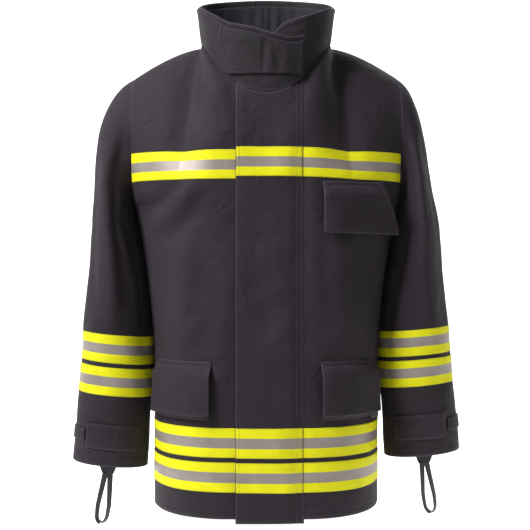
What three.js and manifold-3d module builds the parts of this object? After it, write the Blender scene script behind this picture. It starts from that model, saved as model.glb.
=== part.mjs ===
// Firefighter's turnout coat, worn length, hanging as it does on the shoulders.
// Millimetres, +Z up. The front faces -Y and the wearer's left side is +X.
// The origin is the middle of the neck opening, level with the neck ends of the shoulder seams.
import * as THREE from "three";
import * as BufferGeometryUtils from "three/addons/utils/BufferGeometryUtils.js";
import Module from "manifold-3d";

const wasm = await Module();
wasm.setup();

// Neck and shoulders.
const NECK_HALF_WIDTH = 117;
const NECK_FRONT_DEPTH = 132;
const NECK_BACK_DEPTH = 95;
const NECK_FRONT_DROP = 101;
const NECK_BACK_RISE = 12;
const NECK_SQUARENESS = 2.6;
const SHOULDER_HALF_WIDTH = 240;
const SHOULDER_DROP = 56;
const SHOULDER_CURVE = 1.5;

// Body.
const ARMHOLE_BOTTOM_Z = -290;
const HEM_Z = -824;
const HEM_HALF_WIDTH = 204;
const HEM_FRONT_DEPTH = 160;
const HEM_BACK_DEPTH = 150;
const CHEST_BACK_DEPTH = 140;
const FRONT_FLAT_HALF_WIDTH = 70;
const BACK_FLAT_HALF_WIDTH = 45;
const SIDE_SEAM_Y = 10;
const UNDERARM_FLARE_LENGTH = 310;
const NECK_SHARE = 0.52;
const FLAT_SHARE = 0.3;
const BODY_ROWS = 11;
const UNDERARM_ROW = 5;
const FRONT_COLUMNS = 10;
const BACK_COLUMNS = 18;

// How far each column's curve is pulled where it leaves the chest and where it reaches the top seams.
const BACK_UPPER_LEAN = 0.1;
const CHEST_PULL = 75;
const ARMHOLE_PULL = 92;
const ARMHOLE_PULL_RISE = 12;
const FRONT_TOP_PULL = 70;
const BACK_TOP_PULL = 80;
const BACK_TOP_PULL_OUT = 34;
const SHOULDER_PULL_DROP = 20;
const ARMHOLE_EASE_START = 0.35;
const ARMHOLE_EASE_END = 1.15;

// How near the panels and the bands on them come to the side and top seams, as shares.
const PANEL_SIDE_END = 0.995;
const PANEL_TOP_END = 0.985;
const FRONT_BAND_END = 0.985;
const BACK_BAND_END = 0.965;

// Cloth layers.
const SHELL_THICKNESS = 3;
const LINER_THICKNESS = 2.4;
const FIT_GAP = 0.4;
const LINER_GAP = 2.4;
const TRIM_GAP = 1.2;
const SEAM_GAP = 0.8;
const TRIM_THICKNESS = 1;
const LINER_HEM_RISE = 30;

// Sleeves.
const SLEEVE_RING_Z = -330;
const SLEEVE_OUTER_TOP = 314;
const SLEEVE_FLARE = 0.092;
const SLEEVE_BODY_CLEARANCE = 3;
const SLEEVE_HALF_DEPTH_TOP = 78;
const SLEEVE_HALF_DEPTH_CUFF = 60;
const CUFF_Z = -754;
const CUFF_SPLAY_START_Z = -600;
const CUFF_SPLAY = 0.062;
const CUFF_SEAM_SHARE = 0.41;
const LEFT_SLEEVE_HITCH = 19;
const HITCH_START_Z = -330;
const HITCH_FULL_Z = -700;
const SLEEVE_ROWS = 8;
const CAP_ROW = 5;
const SLEEVE_SEAM_GAP_SHARE = 0.003;
const SLEEVE_LINER_SETBACK = 14;
const SLEEVE_LINER_CAP_END = 0.95;

// How far the sleeve's cap is pulled at its top and under the arm.
// Out and drop leave the armhole; lean and rise reach the tube.
const LEFT_CAP = { out: 44, drop: 24, lean: -22, rise: 120 };
const RIGHT_CAP = { out: 50, drop: 26, lean: 2, rise: 200 };
const CAP_UNDER_OUT = 5;
const CAP_UNDER_DROP = 6;
const CAP_UNDER_LEAN = 2;
const CAP_UNDER_RISE = 12;

// Collar.
const COLLAR_THICKNESS = 5;
const COLLAR_LINING_THICKNESS = 1.2;
const COLLAR_FRONT_TOP = 11;
const COLLAR_SIDE_TOP = 68;
const COLLAR_BACK_TOP = 111;
const COLLAR_BACK_FULLNESS = 0.6;
const COLLAR_TOP_SPREAD = 9;
const COLLAR_OVERLAP_LIFT = 7;
const COLLAR_OUTER_END = 30;
const COLLAR_INNER_END = 6;
const COLLAR_LAP_START = -75;
const COLLAR_LAP_MARGIN = 6;
const COLLAR_LINING_START = 0.09;
const COLLAR_LINING_END = 0.88;
const COLLAR_LINING_INSET = 0.06;

// Zip under the storm flap.
const ZIP_X = 4;
const ZIP_HALF_GAP = 14;
const ZIP_TAPE_WIDTH = 8;
const ZIP_CHAIN_WIDTH = 3;
const ZIP_CHAIN_THICKNESS = 3;
const ZIP_TOP_MARGIN = 10;
const ZIP_BOTTOM_MARGIN = 14;
const SLIDER_WIDTH = 15;
const SLIDER_LENGTH = 22;
const SLIDER_PLATE = 1.6;
const SLIDER_POST = 1.8;
const SLIDER_TOP_MARGIN = 8;
const PULL_LENGTH = 34;
const PULL_WIDTH = 9;
const PULL_THICKNESS = 1.4;
const PULL_TOP_MARGIN = 3;
const PULL_HOLE_MARGIN = 4;
const PULL_HOLE_LENGTH = 14;

// Storm flap.
const FLAP_FREE_X = -51;
const FLAP_HINGE_X = 57;
const FLAP_STANDOFF = 8.6;
const FLAP_THICKNESS = 3;
const FLAP_OVERHANG = 7;
const FLAP_NECK_GAP = 4;
const CLOSURE_WIDTH = 24;
const CLOSURE_EDGE_MARGIN = 6;
const CLOSURE_TOP_MARGIN = 28;
const CLOSURE_BOTTOM_MARGIN = 34;
const LOOP_STRIP_INSET = 2;
const LOOP_STRIP_TAPE_GAP = 4;

// Reflective tape.
const TAPE_HEIGHT = 50;
const CHEST_TAPE_TOP = -199;
const FLAP_TAPE_RAISE = 4;
const HEM_TAPE_TOP = -672;
const HEM_TAPE_GAP = 8;
const SLEEVE_TAPE_TOP = -520;
const SLEEVE_TAPE_GAP = 8;
const TAPE_ZIP_MARGIN = 2;
const FLAP_TAPE_INSET = 1;

// Pockets.
const POUCH_WALL = 1.6;
const POUCH_DEPTH = 15;
const POUCH_CUT_CLEARANCE = 5;
const POCKET_FLAP_THICKNESS = 2.6;
const POCKET_INNER_X = 98;
const LOWER_POUCH_OUTER_X = 186;
const LOWER_FLAP_OVERLAP = 4;
const LOWER_FLAP_OUTER_OVERLAP = 1;
const LOWER_FLAP_TOP = -562;
const LOWER_FLAP_HEIGHT = 90;
const LOWER_POUCH_TOP = -570;
const LOWER_POUCH_HEIGHT = 96;
const CHEST_POUCH_OUTER_X = 206;
const CHEST_POUCH_TOP = -262;
const CHEST_POUCH_HEIGHT = 74;
const CHEST_POUCH_DEPTH = 11;
const CHEST_FLAP_TOP = -253;
const CHEST_FLAP_HEIGHT = 88;
const CHEST_FLAP_OVERLAP = 4;
const PULL_TAB_X = 176;
const PULL_TAB_WIDTH = 14;
const PULL_TAB_DROP = 9;
const PULL_TAB_THICKNESS = 2;

// Cuffs, wristlets and thumb loops.
const CUFF_TAB_TOP = -681;
const CUFF_TAB_HEIGHT = 43;
const CUFF_TAB_INNER_SHARE = 0.385;
const CUFF_TAB_OUTER_SHARE = 0.155;
const CUFF_TAB_THICKNESS = 2.2;
const CUFF_STRAP_HEIGHT = 22;
const CUFF_STRAP_GAP_SHARE = 0.015;
const CUFF_STRAP_BACK_SHARE = 0.2;
const WRISTLET_THICKNESS = 3;
const WRISTLET_INSET = 9;
const WRISTLET_TOP = -690;
const WRISTLET_SETBACK = 3;
const GUSSET_WIDTH = 40;
const GUSSET_TIP_WIDTH = 20;
const GUSSET_THICKNESS = 3;
const GUSSET_SETBACK = 5;
const GUSSET_TOP = -742;
const GUSSET_TIP = -772;
const LOOP_LENGTH = 90;
const LOOP_GAP = 22;
const LOOP_STRAP = 2.4;
const LOOP_STRAP_WIDTH = 9;
const LOOP_LEAN = 0.14;
const LOOP_DROP = 3.4;
const LOOP_NECK_SHARE = 0.45;
const LOOP_BELLY = 1.5;
const LOOP_SWELL_START = 0.4;
const LOOP_STEPS = 12;

// Throat tab and hanging loop.
const TAB_HINGE_X = 56;
const TAB_TIP_X = -84;
const TAB_TOP_SHARE = 0.93;
const TAB_BOTTOM_Z = -69;
const TAB_SEAM_SHARE = 0.04;
const TAB_POINT = 8;
const TAB_THICKNESS = 2.6;
const PATCH_TIP_SHARE = 0.08;
const PATCH_HINGE_SHARE = 0.42;
const PATCH_INSET = 0.14;
const HANG_LOOP_HALF_WIDTH = 38;
const HANG_LOOP_STRAP = 12;
const HANG_LOOP_STANDOFF = 9;
const HANG_LOOP_THICKNESS = 2;
const HANG_LOOP_Z = 46;

// Colours.
const NAVY = 0x35323c;
const LINING_GREY = 0x3a3a42;
const LIME = 0xe8ea12;
const BRASS = 0x9c8448;
const KNIT = 0x2b2a30;
const HOOK_BLACK = 0x232227;

const lerp = THREE.MathUtils.lerp;
const clamp = THREE.MathUtils.clamp;
const smooth = THREE.MathUtils.smoothstep;
const vec = (x, y, z) => new THREE.Vector3(x, y, z);

const coat = new THREE.Group();

function cloth(color) {
  return new THREE.MeshStandardMaterial({ color, roughness: 0.85, metalness: 0 });
}

function metal(color) {
  return new THREE.MeshStandardMaterial({ color, roughness: 0.4, metalness: 0.9 });
}

function place(name, geometry, material, parent = coat) {
  const mesh = new THREE.Mesh(geometry, material);
  mesh.name = name;
  parent.add(mesh);
  return mesh;
}

// A closed sheet over a surface(u, v), between two distances along its outward normal.
function sheet(across, up, surface, low, high) {
  const geometry = new THREE.BoxGeometry(1, 1, 1, across, up, 1);
  const spots = geometry.attributes.position;
  const step = 1e-4;
  for (let i = 0; i < spots.count; i += 1) {
    const u = clamp(spots.getX(i) + 0.5, 0, 1);
    const v = clamp(spots.getY(i) + 0.5, 0, 1);
    const away = spots.getZ(i) > 0 ? high : low;
    const left = surface(Math.max(u - step, 0), v);
    const right = surface(Math.min(u + step, 1), v);
    const below = surface(u, Math.max(v - step, 0));
    const above = surface(u, Math.min(v + step, 1));
    const normal = right.sub(left).cross(above.sub(below)).normalize();
    const spot = surface(u, v).addScaledVector(normal, away);
    spots.setXYZ(i, spot.x, spot.y, spot.z);
  }
  turnInnerDiagonals(geometry);
  return geometry;
}

// Splits the inner face's squares along the same diagonals as the outer face's, so that layers nest.
function turnInnerDiagonals(geometry) {
  const inner = geometry.groups[5];
  const index = geometry.index;
  for (let i = inner.start; i < inner.start + inner.count; i += 6) {
    const corners = [index.getX(i), index.getX(i + 1), index.getX(i + 4), index.getX(i + 2)];
    const order = [0, 1, 2, 0, 2, 3];
    order.forEach((corner, k) => index.setX(i + k, corners[corner]));
  }
}

// A ring-shaped tube over a surface(u, v) that closes on itself in u.
function ringSheet(around, up, surface, low, high) {
  const profile = [];
  for (let i = 0; i <= up; i += 1) {
    profile.push(new THREE.Vector2(2, i / up));
  }
  for (let i = up; i >= 0; i -= 1) {
    profile.push(new THREE.Vector2(1, i / up));
  }
  profile.push(profile[0].clone());
  const geometry = new THREE.LatheGeometry(profile, around);
  const spots = geometry.attributes.position;
  const step = 1e-4;
  for (let i = 0; i < spots.count; i += 1) {
    const x = spots.getX(i);
    const z = spots.getZ(i);
    const v = spots.getY(i);
    const away = Math.hypot(x, z) > 1.5 ? high : low;
    const u = (Math.atan2(x, z) / (2 * Math.PI) + 1) % 1;
    const side = surface((u + step) % 1, v).sub(surface((u + 1 - step) % 1, v));
    const rise = surface(u, Math.min(v + step, 1)).sub(surface(u, Math.max(v - step, 0)));
    const normal = side.cross(rise).normalize();
    const spot = surface(u, v).addScaledVector(normal, away);
    spots.setXYZ(i, spot.x, spot.y, spot.z);
  }
  return geometry;
}

function solidOf(geometry) {
  const bare = geometry.clone();
  bare.deleteAttribute("normal");
  bare.deleteAttribute("uv");
  const merged = BufferGeometryUtils.mergeVertices(bare, 1e-4);
  const mesh = new wasm.Mesh({
    numProp: 3,
    vertProperties: merged.attributes.position.array,
    triVerts: merged.index.array,
  });
  return new wasm.Manifold(mesh);
}

function geometryOf(solid) {
  const mesh = solid.getMesh();
  const geometry = new THREE.BufferGeometry();
  geometry.setAttribute("position", new THREE.BufferAttribute(mesh.vertProperties, 3));
  geometry.setIndex(new THREE.BufferAttribute(mesh.triVerts, 1));
  return geometry;
}

// The same surface on the wearer's right side, still facing outwards.
function mirrored(surface) {
  return (u, v) => surface(1 - u, v).multiply(vec(-1, 1, 1));
}

const sides = [
  { name: "left", sign: 1, pick: (surface) => surface, hitch: LEFT_SLEEVE_HITCH, cap: LEFT_CAP },
  { name: "right", sign: -1, pick: mirrored, hitch: 0, cap: RIGHT_CAP },
];

// ---- Body surfaces, made for the wearer's left half ----

// The front of the coat is flat and leans in evenly from the hem to the neck.
const frontLean = (HEM_FRONT_DEPTH - NECK_FRONT_DEPTH) / (-NECK_FRONT_DROP - HEM_Z);
const frontDepth = (z) => NECK_FRONT_DEPTH + (-NECK_FRONT_DROP - z) * frontLean;
const backLean = (HEM_BACK_DEPTH - CHEST_BACK_DEPTH) / (ARMHOLE_BOTTOM_Z - HEM_Z);
const backDepth = (z) => CHEST_BACK_DEPTH + (ARMHOLE_BOTTOM_Z - z) * backLean;

function halfWidth(z) {
  const rise = clamp((z - ARMHOLE_BOTTOM_Z) / UNDERARM_FLARE_LENGTH + 1, 0, 1);
  return HEM_HALF_WIDTH + (SHOULDER_HALF_WIDTH - HEM_HALF_WIDTH) * rise * rise;
}

// The neck seam, as a fraction of a quarter turn from the centre of the front or the back.
function neckPoint(turn, depth, centreZ) {
  const angle = (turn * Math.PI) / 2;
  const reach = Math.pow(Math.max(1 - Math.pow(Math.sin(angle), NECK_SQUARENESS), 0), 1 / NECK_SQUARENESS);
  return vec(NECK_HALF_WIDTH * Math.sin(angle), depth * reach, centreZ * Math.cos(angle) ** 2);
}

// How often a search for a height or a width halves its range.
const HALVINGS = 24;

// One half panel: share 0 is the centre line and 1 is the side seam and armhole.
function halfPanel(side) {
  const front = side === "front";
  const sign = front ? -1 : 1;
  const flat = front ? FRONT_FLAT_HALF_WIDTH : BACK_FLAT_HALF_WIDTH;
  const depth = front ? frontDepth : backDepth;
  const neckDepth = front ? -NECK_FRONT_DEPTH : NECK_BACK_DEPTH;
  const neckZ = front ? -NECK_FRONT_DROP : NECK_BACK_RISE;

  function level(share, z) {
    if (share <= FLAT_SHARE) {
      return vec((flat * share) / FLAT_SHARE, sign * depth(z), z);
    }
    const angle = ((share - FLAT_SHARE) / (1 - FLAT_SHARE)) * (Math.PI / 2);
    const x = flat + (halfWidth(z) - flat) * Math.sin(angle);
    return vec(x, SIDE_SEAM_Y + (sign * depth(z) - SIDE_SEAM_Y) * Math.cos(angle), z);
  }

  function top(share) {
    if (share <= NECK_SHARE) {
      return neckPoint(share / NECK_SHARE, neckDepth, neckZ);
    }
    const along = (share - NECK_SHARE) / (1 - NECK_SHARE);
    const drop = SHOULDER_DROP * along ** SHOULDER_CURVE;
    return vec(lerp(NECK_HALF_WIDTH, SHOULDER_HALF_WIDTH, along), 0, -drop);
  }

  // rise runs from 0 at the armhole's lowest point to 1 at the shoulder or neck seam.
  function upper(share, rise) {
    const start = level(share, ARMHOLE_BOTTOM_Z);
    const end = top(share);
    const fullEase = smooth(1, ARMHOLE_EASE_START, ARMHOLE_EASE_END);
    const edge = smooth(share, ARMHOLE_EASE_START, ARMHOLE_EASE_END) / fullEase;
    const cap = smooth(share, 0, NECK_SHARE);
    const lean = front ? frontLean : BACK_UPPER_LEAN;
    const startPull = vec(0, -sign * lean * CHEST_PULL, CHEST_PULL);
    startPull.lerp(vec(0, sign * ARMHOLE_PULL, ARMHOLE_PULL_RISE), edge);
    const topPull = front ? FRONT_TOP_PULL : BACK_TOP_PULL;
    const endPull = vec(0, sign * (front ? lean * FRONT_TOP_PULL : BACK_TOP_PULL_OUT), -topPull);
    endPull.lerp(vec(0, sign * ARMHOLE_PULL, -SHOULDER_PULL_DROP), cap);
    startPull.add(start);
    endPull.add(end);
    return new THREE.CubicBezierCurve3(start, startPull, endPull, end).getPoint(rise);
  }

  // The point of a column at a given height.
  function at(share, z) {
    if (z <= ARMHOLE_BOTTOM_Z) {
      return level(share, z);
    }
    let low = 0;
    let high = 1;
    for (let i = 0; i < HALVINGS; i += 1) {
      const middle = (low + high) / 2;
      if (upper(share, middle).z < z) {
        low = middle;
      } else {
        high = middle;
      }
    }
    return upper(share, (low + high) / 2);
  }

  // The share whose column passes through x at that height.
  function shareAt(x, z) {
    let low = 0;
    let high = 1;
    for (let i = 0; i < HALVINGS; i += 1) {
      const middle = (low + high) / 2;
      if (at(middle, z).x < x) {
        low = middle;
      } else {
        high = middle;
      }
    }
    return (low + high) / 2;
  }
  return { level, upper, at, shareAt };
}

const front = halfPanel("front");
const back = halfPanel("back");

// v runs from the hem to the armhole and on to the shoulder, with an even row at the armhole.
function panelPoint(half, share, v, bottomZ, topRise) {
  const split = UNDERARM_ROW / BODY_ROWS;
  if (v <= split) {
    return half.level(share, lerp(bottomZ, ARMHOLE_BOTTOM_Z, v / split));
  }
  return half.upper(share, (topRise * (v - split)) / (1 - split));
}

// A front half, from its zip edge to the side seam.
function frontSurface(bottomZ, edgeX, topRise) {
  return (u, v) => {
    const start = (edgeX / FRONT_FLAT_HALF_WIDTH) * FLAT_SHARE;
    const share = lerp(start, PANEL_SIDE_END, u);
    return panelPoint(front, share, v, bottomZ, topRise);
  };
}

function backSurface(bottomZ, topRise) {
  return (u, v) => {
    const across = 1 - 2 * u;
    const spot = panelPoint(back, Math.abs(across) * PANEL_SIDE_END, v, bottomZ, topRise);
    return across < 0 ? spot.multiply(vec(-1, 1, 1)) : spot;
  };
}

const LINER_HIGH = -SHELL_THICKNESS - LINER_GAP;
const LINER_LOW = LINER_HIGH - LINER_THICKNESS;
const LINER_HEM_Z = HEM_Z + LINER_HEM_RISE;

for (const side of sides) {
  const edge = ZIP_HALF_GAP + side.sign * ZIP_X;
  const shell = side.pick(frontSurface(HEM_Z, edge, PANEL_TOP_END));
  const panel = sheet(FRONT_COLUMNS, BODY_ROWS, shell, -SHELL_THICKNESS, 0);
  place(`front_panel_${side.name}`, panel, cloth(NAVY));
  const liner = side.pick(frontSurface(LINER_HEM_Z, edge, PANEL_TOP_END));
  const lining = sheet(FRONT_COLUMNS, BODY_ROWS, liner, LINER_LOW, LINER_HIGH);
  place(`liner_front_${side.name}`, lining, cloth(LINING_GREY));
}
const backShell = backSurface(HEM_Z, PANEL_TOP_END);
place("back_panel", sheet(BACK_COLUMNS, BODY_ROWS, backShell, -SHELL_THICKNESS, 0), cloth(NAVY));
const backLiner = backSurface(LINER_HEM_Z, PANEL_TOP_END);
const backLining = sheet(BACK_COLUMNS, BODY_ROWS, backLiner, LINER_LOW, LINER_HIGH);
place("liner_back", backLining, cloth(LINING_GREY));

// ---- Collar: one band whose wearer's right end laps over the left end at the throat ----

// turn is the angle round the neck in degrees, 0 at the centre front and growing to the wearer's left.
function collarPoint(turn, rise) {
  const angle = THREE.MathUtils.degToRad(turn);
  const forward = Math.cos(angle) > 0;
  const depth = forward ? -NECK_FRONT_DEPTH : NECK_BACK_DEPTH;
  const drop = forward ? -NECK_FRONT_DROP : NECK_BACK_RISE;
  const sine = Math.sin(angle);
  const reach = Math.pow(Math.max(1 - Math.pow(Math.abs(sine), NECK_SQUARENESS), 0), 1 / NECK_SQUARENESS);
  const seam = vec(NECK_HALF_WIDTH * sine, depth * reach, drop * Math.cos(angle) ** 2 + SEAM_GAP * 2);
  const endZ = forward ? COLLAR_FRONT_TOP : COLLAR_BACK_TOP;
  const fullness = forward ? 2 : COLLAR_BACK_FULLNESS;
  const topZ = lerp(COLLAR_SIDE_TOP, endZ, Math.abs(Math.cos(angle)) ** fullness);
  const spread = 1 + (COLLAR_TOP_SPREAD * rise) / NECK_HALF_WIDTH;
  return vec(seam.x * spread, seam.y * (forward ? 1 : spread), lerp(seam.z, topZ, rise));
}

// How far the upper lap stands out from the under lap.
function lapLift(turn) {
  return COLLAR_OVERLAP_LIFT * smooth(turn, COLLAR_LAP_START, COLLAR_INNER_END - COLLAR_LAP_MARGIN);
}

const COLLAR_TURNS = 360 + COLLAR_OUTER_END - COLLAR_INNER_END;

function collarSurface(u, v) {
  const along = COLLAR_INNER_END + COLLAR_TURNS * u;
  const turn = along > 180 ? along - 360 : along;
  const spot = collarPoint(turn, v);
  const lift = along > 180 ? lapLift(turn) : 0;
  const flatOut = vec(spot.x, spot.y, 0).normalize();
  return spot.addScaledVector(flatOut, lift);
}

place("collar", sheet(30, 2, collarSurface, -COLLAR_THICKNESS, 0), cloth(NAVY));
const liningHigh = -COLLAR_THICKNESS - TRIM_GAP;
const liningAlong = (u) => lerp(COLLAR_LINING_START, COLLAR_LINING_END, u);
const liningRise = (v) => lerp(COLLAR_LINING_INSET, 1 - COLLAR_LINING_INSET, v);
const liningSurface = (u, v) => collarSurface(liningAlong(u), liningRise(v));
place(
  "collar_lining",
  sheet(22, 2, liningSurface, liningHigh - COLLAR_LINING_THICKNESS, liningHigh),
  cloth(LINING_GREY),
);

// The throat tab lies along the upper lap and is sewn down at the lap's end.
function turnAtX(x) {
  return THREE.MathUtils.radToDeg(Math.asin(clamp(x / (NECK_HALF_WIDTH + COLLAR_TOP_SPREAD / 2), -1, 1)));
}

function lapSurface(x, rise) {
  const turn = turnAtX(x);
  const spot = collarPoint(turn, rise);
  return spot.addScaledVector(vec(spot.x, spot.y, 0).normalize(), lapLift(turn));
}

// The tab's lower edge is level until it meets the neck seam, and then follows the seam.
function tabBottom(x) {
  const turn = turnAtX(x);
  const foot = collarPoint(turn, 0).z;
  const top = collarPoint(turn, 1).z;
  return Math.max((TAB_BOTTOM_Z - foot) / (top - foot), TAB_SEAM_SHARE);
}

function tabSurface(u, v) {
  const point = TAB_POINT * (1 - Math.abs(2 * v - 1)) * (1 - u);
  const x = lerp(TAB_TIP_X, TAB_HINGE_X, u) - point;
  return lapSurface(x, lerp(tabBottom(x), TAB_TOP_SHARE, v));
}

const patchAlong = (u) => lerp(PATCH_TIP_SHARE, PATCH_HINGE_SHARE, u);
const patchSurface = (u, v) => tabSurface(patchAlong(u), lerp(PATCH_INSET, 1 - PATCH_INSET, v));
const tabLow = 2 * TRIM_THICKNESS + 3 * TRIM_GAP;
place("throat_tab", sheet(9, 2, tabSurface, tabLow, tabLow + TAB_THICKNESS), cloth(NAVY));
place(
  "throat_hook_patch",
  sheet(4, 2, patchSurface, tabLow - TRIM_GAP - TRIM_THICKNESS, tabLow - TRIM_GAP),
  cloth(HOOK_BLACK),
);
place(
  "collar_loop_patch",
  sheet(4, 2, patchSurface, TRIM_GAP, TRIM_GAP + TRIM_THICKNESS),
  cloth(HOOK_BLACK),
);

// The hanging loop is a strap bowed out from the back of the collar.
function hangLoopSurface(u, v) {
  const angle = (u - 0.5) * Math.PI;
  const x = -HANG_LOOP_HALF_WIDTH * Math.sin(angle);
  const share = Math.abs(x) / HANG_LOOP_HALF_WIDTH;
  const bow = HANG_LOOP_STANDOFF * Math.sqrt(Math.max(1 - share * share, 0));
  const z = HANG_LOOP_Z + (v - 0.5) * HANG_LOOP_STRAP;
  const turn = 180 - turnAtX(Math.abs(x));
  const wall = collarPoint(turn, (z - NECK_BACK_RISE) / (COLLAR_BACK_TOP - NECK_BACK_RISE));
  return vec(x, wall.y + FIT_GAP + bow, z);
}
place("hanging_loop", sheet(14, 1, hangLoopSurface, 0, HANG_LOOP_THICKNESS), cloth(NAVY));

// ---- Centre front: a group lying in the flat front, its local origin at the foot of the collar ----

const frontTilt = Math.atan(frontLean);
const centreFront = new THREE.Group();
centreFront.position.set(0, -NECK_FRONT_DEPTH, -NECK_FRONT_DROP);
centreFront.rotation.x = -frontTilt;
coat.add(centreFront);

// A flat plate in the front plane: x from and to, z from and to, and how far out it starts and ends.
function plate(x0, x1, z0, z1, low, high) {
  const geometry = new THREE.BoxGeometry(x1 - x0, high - low, z1 - z0);
  geometry.translate((x0 + x1) / 2, -(low + high) / 2, (z0 + z1) / 2);
  return geometry;
}

const zipTop = -ZIP_TOP_MARGIN;
const zipBottom = HEM_Z + NECK_FRONT_DROP + ZIP_BOTTOM_MARGIN;
const chainStart = ZIP_HALF_GAP - SEAM_GAP - ZIP_TAPE_WIDTH - FIT_GAP;
const chainMiddle = -SHELL_THICKNESS / 2;
for (const side of sides) {
  const outer = ZIP_X + side.sign * (ZIP_HALF_GAP - SEAM_GAP);
  const inner = outer - side.sign * ZIP_TAPE_WIDTH;
  const low = chainMiddle - TRIM_THICKNESS / 2;
  const nearer = Math.min(outer, inner);
  const tape = plate(nearer, nearer + ZIP_TAPE_WIDTH, zipBottom, zipTop, low, low + TRIM_THICKNESS);
  place(`zip_tape_${side.name}`, tape, cloth(HOOK_BLACK), centreFront);
  const chainOuter = ZIP_X + side.sign * chainStart;
  const chainInner = chainOuter - side.sign * ZIP_CHAIN_WIDTH;
  const chainLow = chainMiddle - ZIP_CHAIN_THICKNESS / 2;
  const chain = plate(
    Math.min(chainOuter, chainInner),
    Math.max(chainOuter, chainInner),
    zipBottom,
    zipTop,
    chainLow,
    chainLow + ZIP_CHAIN_THICKNESS,
  );
  place(`zip_teeth_${side.name}`, chain, metal(BRASS), centreFront);
}

// The slider is two plates and the post between them, which runs in the gap of the two rows of teeth.
const plateInner = ZIP_CHAIN_THICKNESS / 2 + FIT_GAP;
const plateOuter = plateInner + SLIDER_PLATE;
const sliderShape = new THREE.Shape();
sliderShape.moveTo(-SLIDER_WIDTH / 2, -plateOuter);
sliderShape.lineTo(SLIDER_WIDTH / 2, -plateOuter);
sliderShape.lineTo(SLIDER_WIDTH / 2, -plateInner);
sliderShape.lineTo(SLIDER_POST / 2, -plateInner);
sliderShape.lineTo(SLIDER_POST / 2, plateInner);
sliderShape.lineTo(SLIDER_WIDTH / 2, plateInner);
sliderShape.lineTo(SLIDER_WIDTH / 2, plateOuter);
sliderShape.lineTo(-SLIDER_WIDTH / 2, plateOuter);
sliderShape.lineTo(-SLIDER_WIDTH / 2, plateInner);
sliderShape.lineTo(-SLIDER_POST / 2, plateInner);
sliderShape.lineTo(-SLIDER_POST / 2, -plateInner);
sliderShape.lineTo(-SLIDER_WIDTH / 2, -plateInner);
sliderShape.closePath();
const sliderBody = new THREE.ExtrudeGeometry(sliderShape, { depth: SLIDER_LENGTH, bevelEnabled: false });
const sliderZ = zipTop - SLIDER_LENGTH - SLIDER_TOP_MARGIN;
sliderBody.translate(ZIP_X, -chainMiddle, sliderZ);
place("zip_slider", sliderBody, metal(BRASS), centreFront);

const pullShape = new THREE.Shape();
pullShape.absellipse(0, -PULL_WIDTH / 2, PULL_WIDTH / 2, PULL_WIDTH / 2, 0, Math.PI, false, 0);
pullShape.lineTo(-PULL_WIDTH / 2, -PULL_LENGTH);
pullShape.lineTo(PULL_WIDTH / 2, -PULL_LENGTH);
pullShape.closePath();
const pullHole = new THREE.Path();
const holeBottom = -PULL_LENGTH + PULL_HOLE_MARGIN;
const holeTop = holeBottom + PULL_HOLE_LENGTH;
pullHole.moveTo(-PULL_WIDTH / 4, holeBottom);
pullHole.lineTo(PULL_WIDTH / 4, holeBottom);
pullHole.lineTo(PULL_WIDTH / 4, holeTop);
pullHole.lineTo(-PULL_WIDTH / 4, holeTop);
pullHole.closePath();
pullShape.holes.push(pullHole);
const pullSteps = { depth: PULL_THICKNESS, bevelEnabled: false, curveSegments: 8 };
const pullPlate = new THREE.ExtrudeGeometry(pullShape, pullSteps);
pullPlate.rotateX(Math.PI / 2);
pullPlate.translate(ZIP_X, -chainMiddle - plateOuter - FIT_GAP, sliderZ + SLIDER_LENGTH - PULL_TOP_MARGIN);
place("zip_pull", pullPlate, metal(BRASS), centreFront);

// The storm flap is one strip whose top edge follows the neck seam.
const flapBottom = HEM_Z + NECK_FRONT_DROP - FLAP_OVERHANG;
const flapLow = FLAP_STANDOFF;
const flapHigh = flapLow + FLAP_THICKNESS;
function flapTopAt(x) {
  return NECK_FRONT_DROP * (x / NECK_HALF_WIDTH) ** 2 - FLAP_NECK_GAP;
}
const flapSurface = (u, v) => {
  const x = lerp(FLAP_FREE_X, FLAP_HINGE_X, u);
  return vec(x, 0, lerp(flapBottom, flapTopAt(x), v));
};
place("storm_flap", sheet(6, 1, flapSurface, flapLow, flapHigh), cloth(NAVY), centreFront);

const closureTop = -CLOSURE_TOP_MARGIN;
const closureBottom = flapBottom + CLOSURE_BOTTOM_MARGIN;
const closureStart = FLAP_FREE_X + CLOSURE_EDGE_MARGIN;
const closureEnd = closureStart + CLOSURE_WIDTH;
const hookLow = flapLow - FIT_GAP - TRIM_THICKNESS;
place(
  "storm_flap_hook_strip",
  plate(closureStart, closureEnd, closureBottom, closureTop, hookLow, hookLow + TRIM_THICKNESS),
  cloth(HOOK_BLACK),
  centreFront,
);

// ---- Reflective tape ----

const tapeLow = TRIM_GAP;
const tapeHigh = TRIM_GAP + TRIM_THICKNESS;

// A band round one half panel between two heights, from one share to another.
function bandSurface(half, fromShare, toShare, topZ) {
  return (u, v) => half.at(lerp(fromShare, toShare, u), lerp(topZ - TAPE_HEIGHT, topZ, v));
}

function backBand(topZ) {
  return (u, v) => {
    const across = 1 - 2 * u;
    const spot = back.at(Math.abs(across) * BACK_BAND_END, lerp(topZ - TAPE_HEIGHT, topZ, v));
    return across < 0 ? spot.multiply(vec(-1, 1, 1)) : spot;
  };
}

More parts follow.
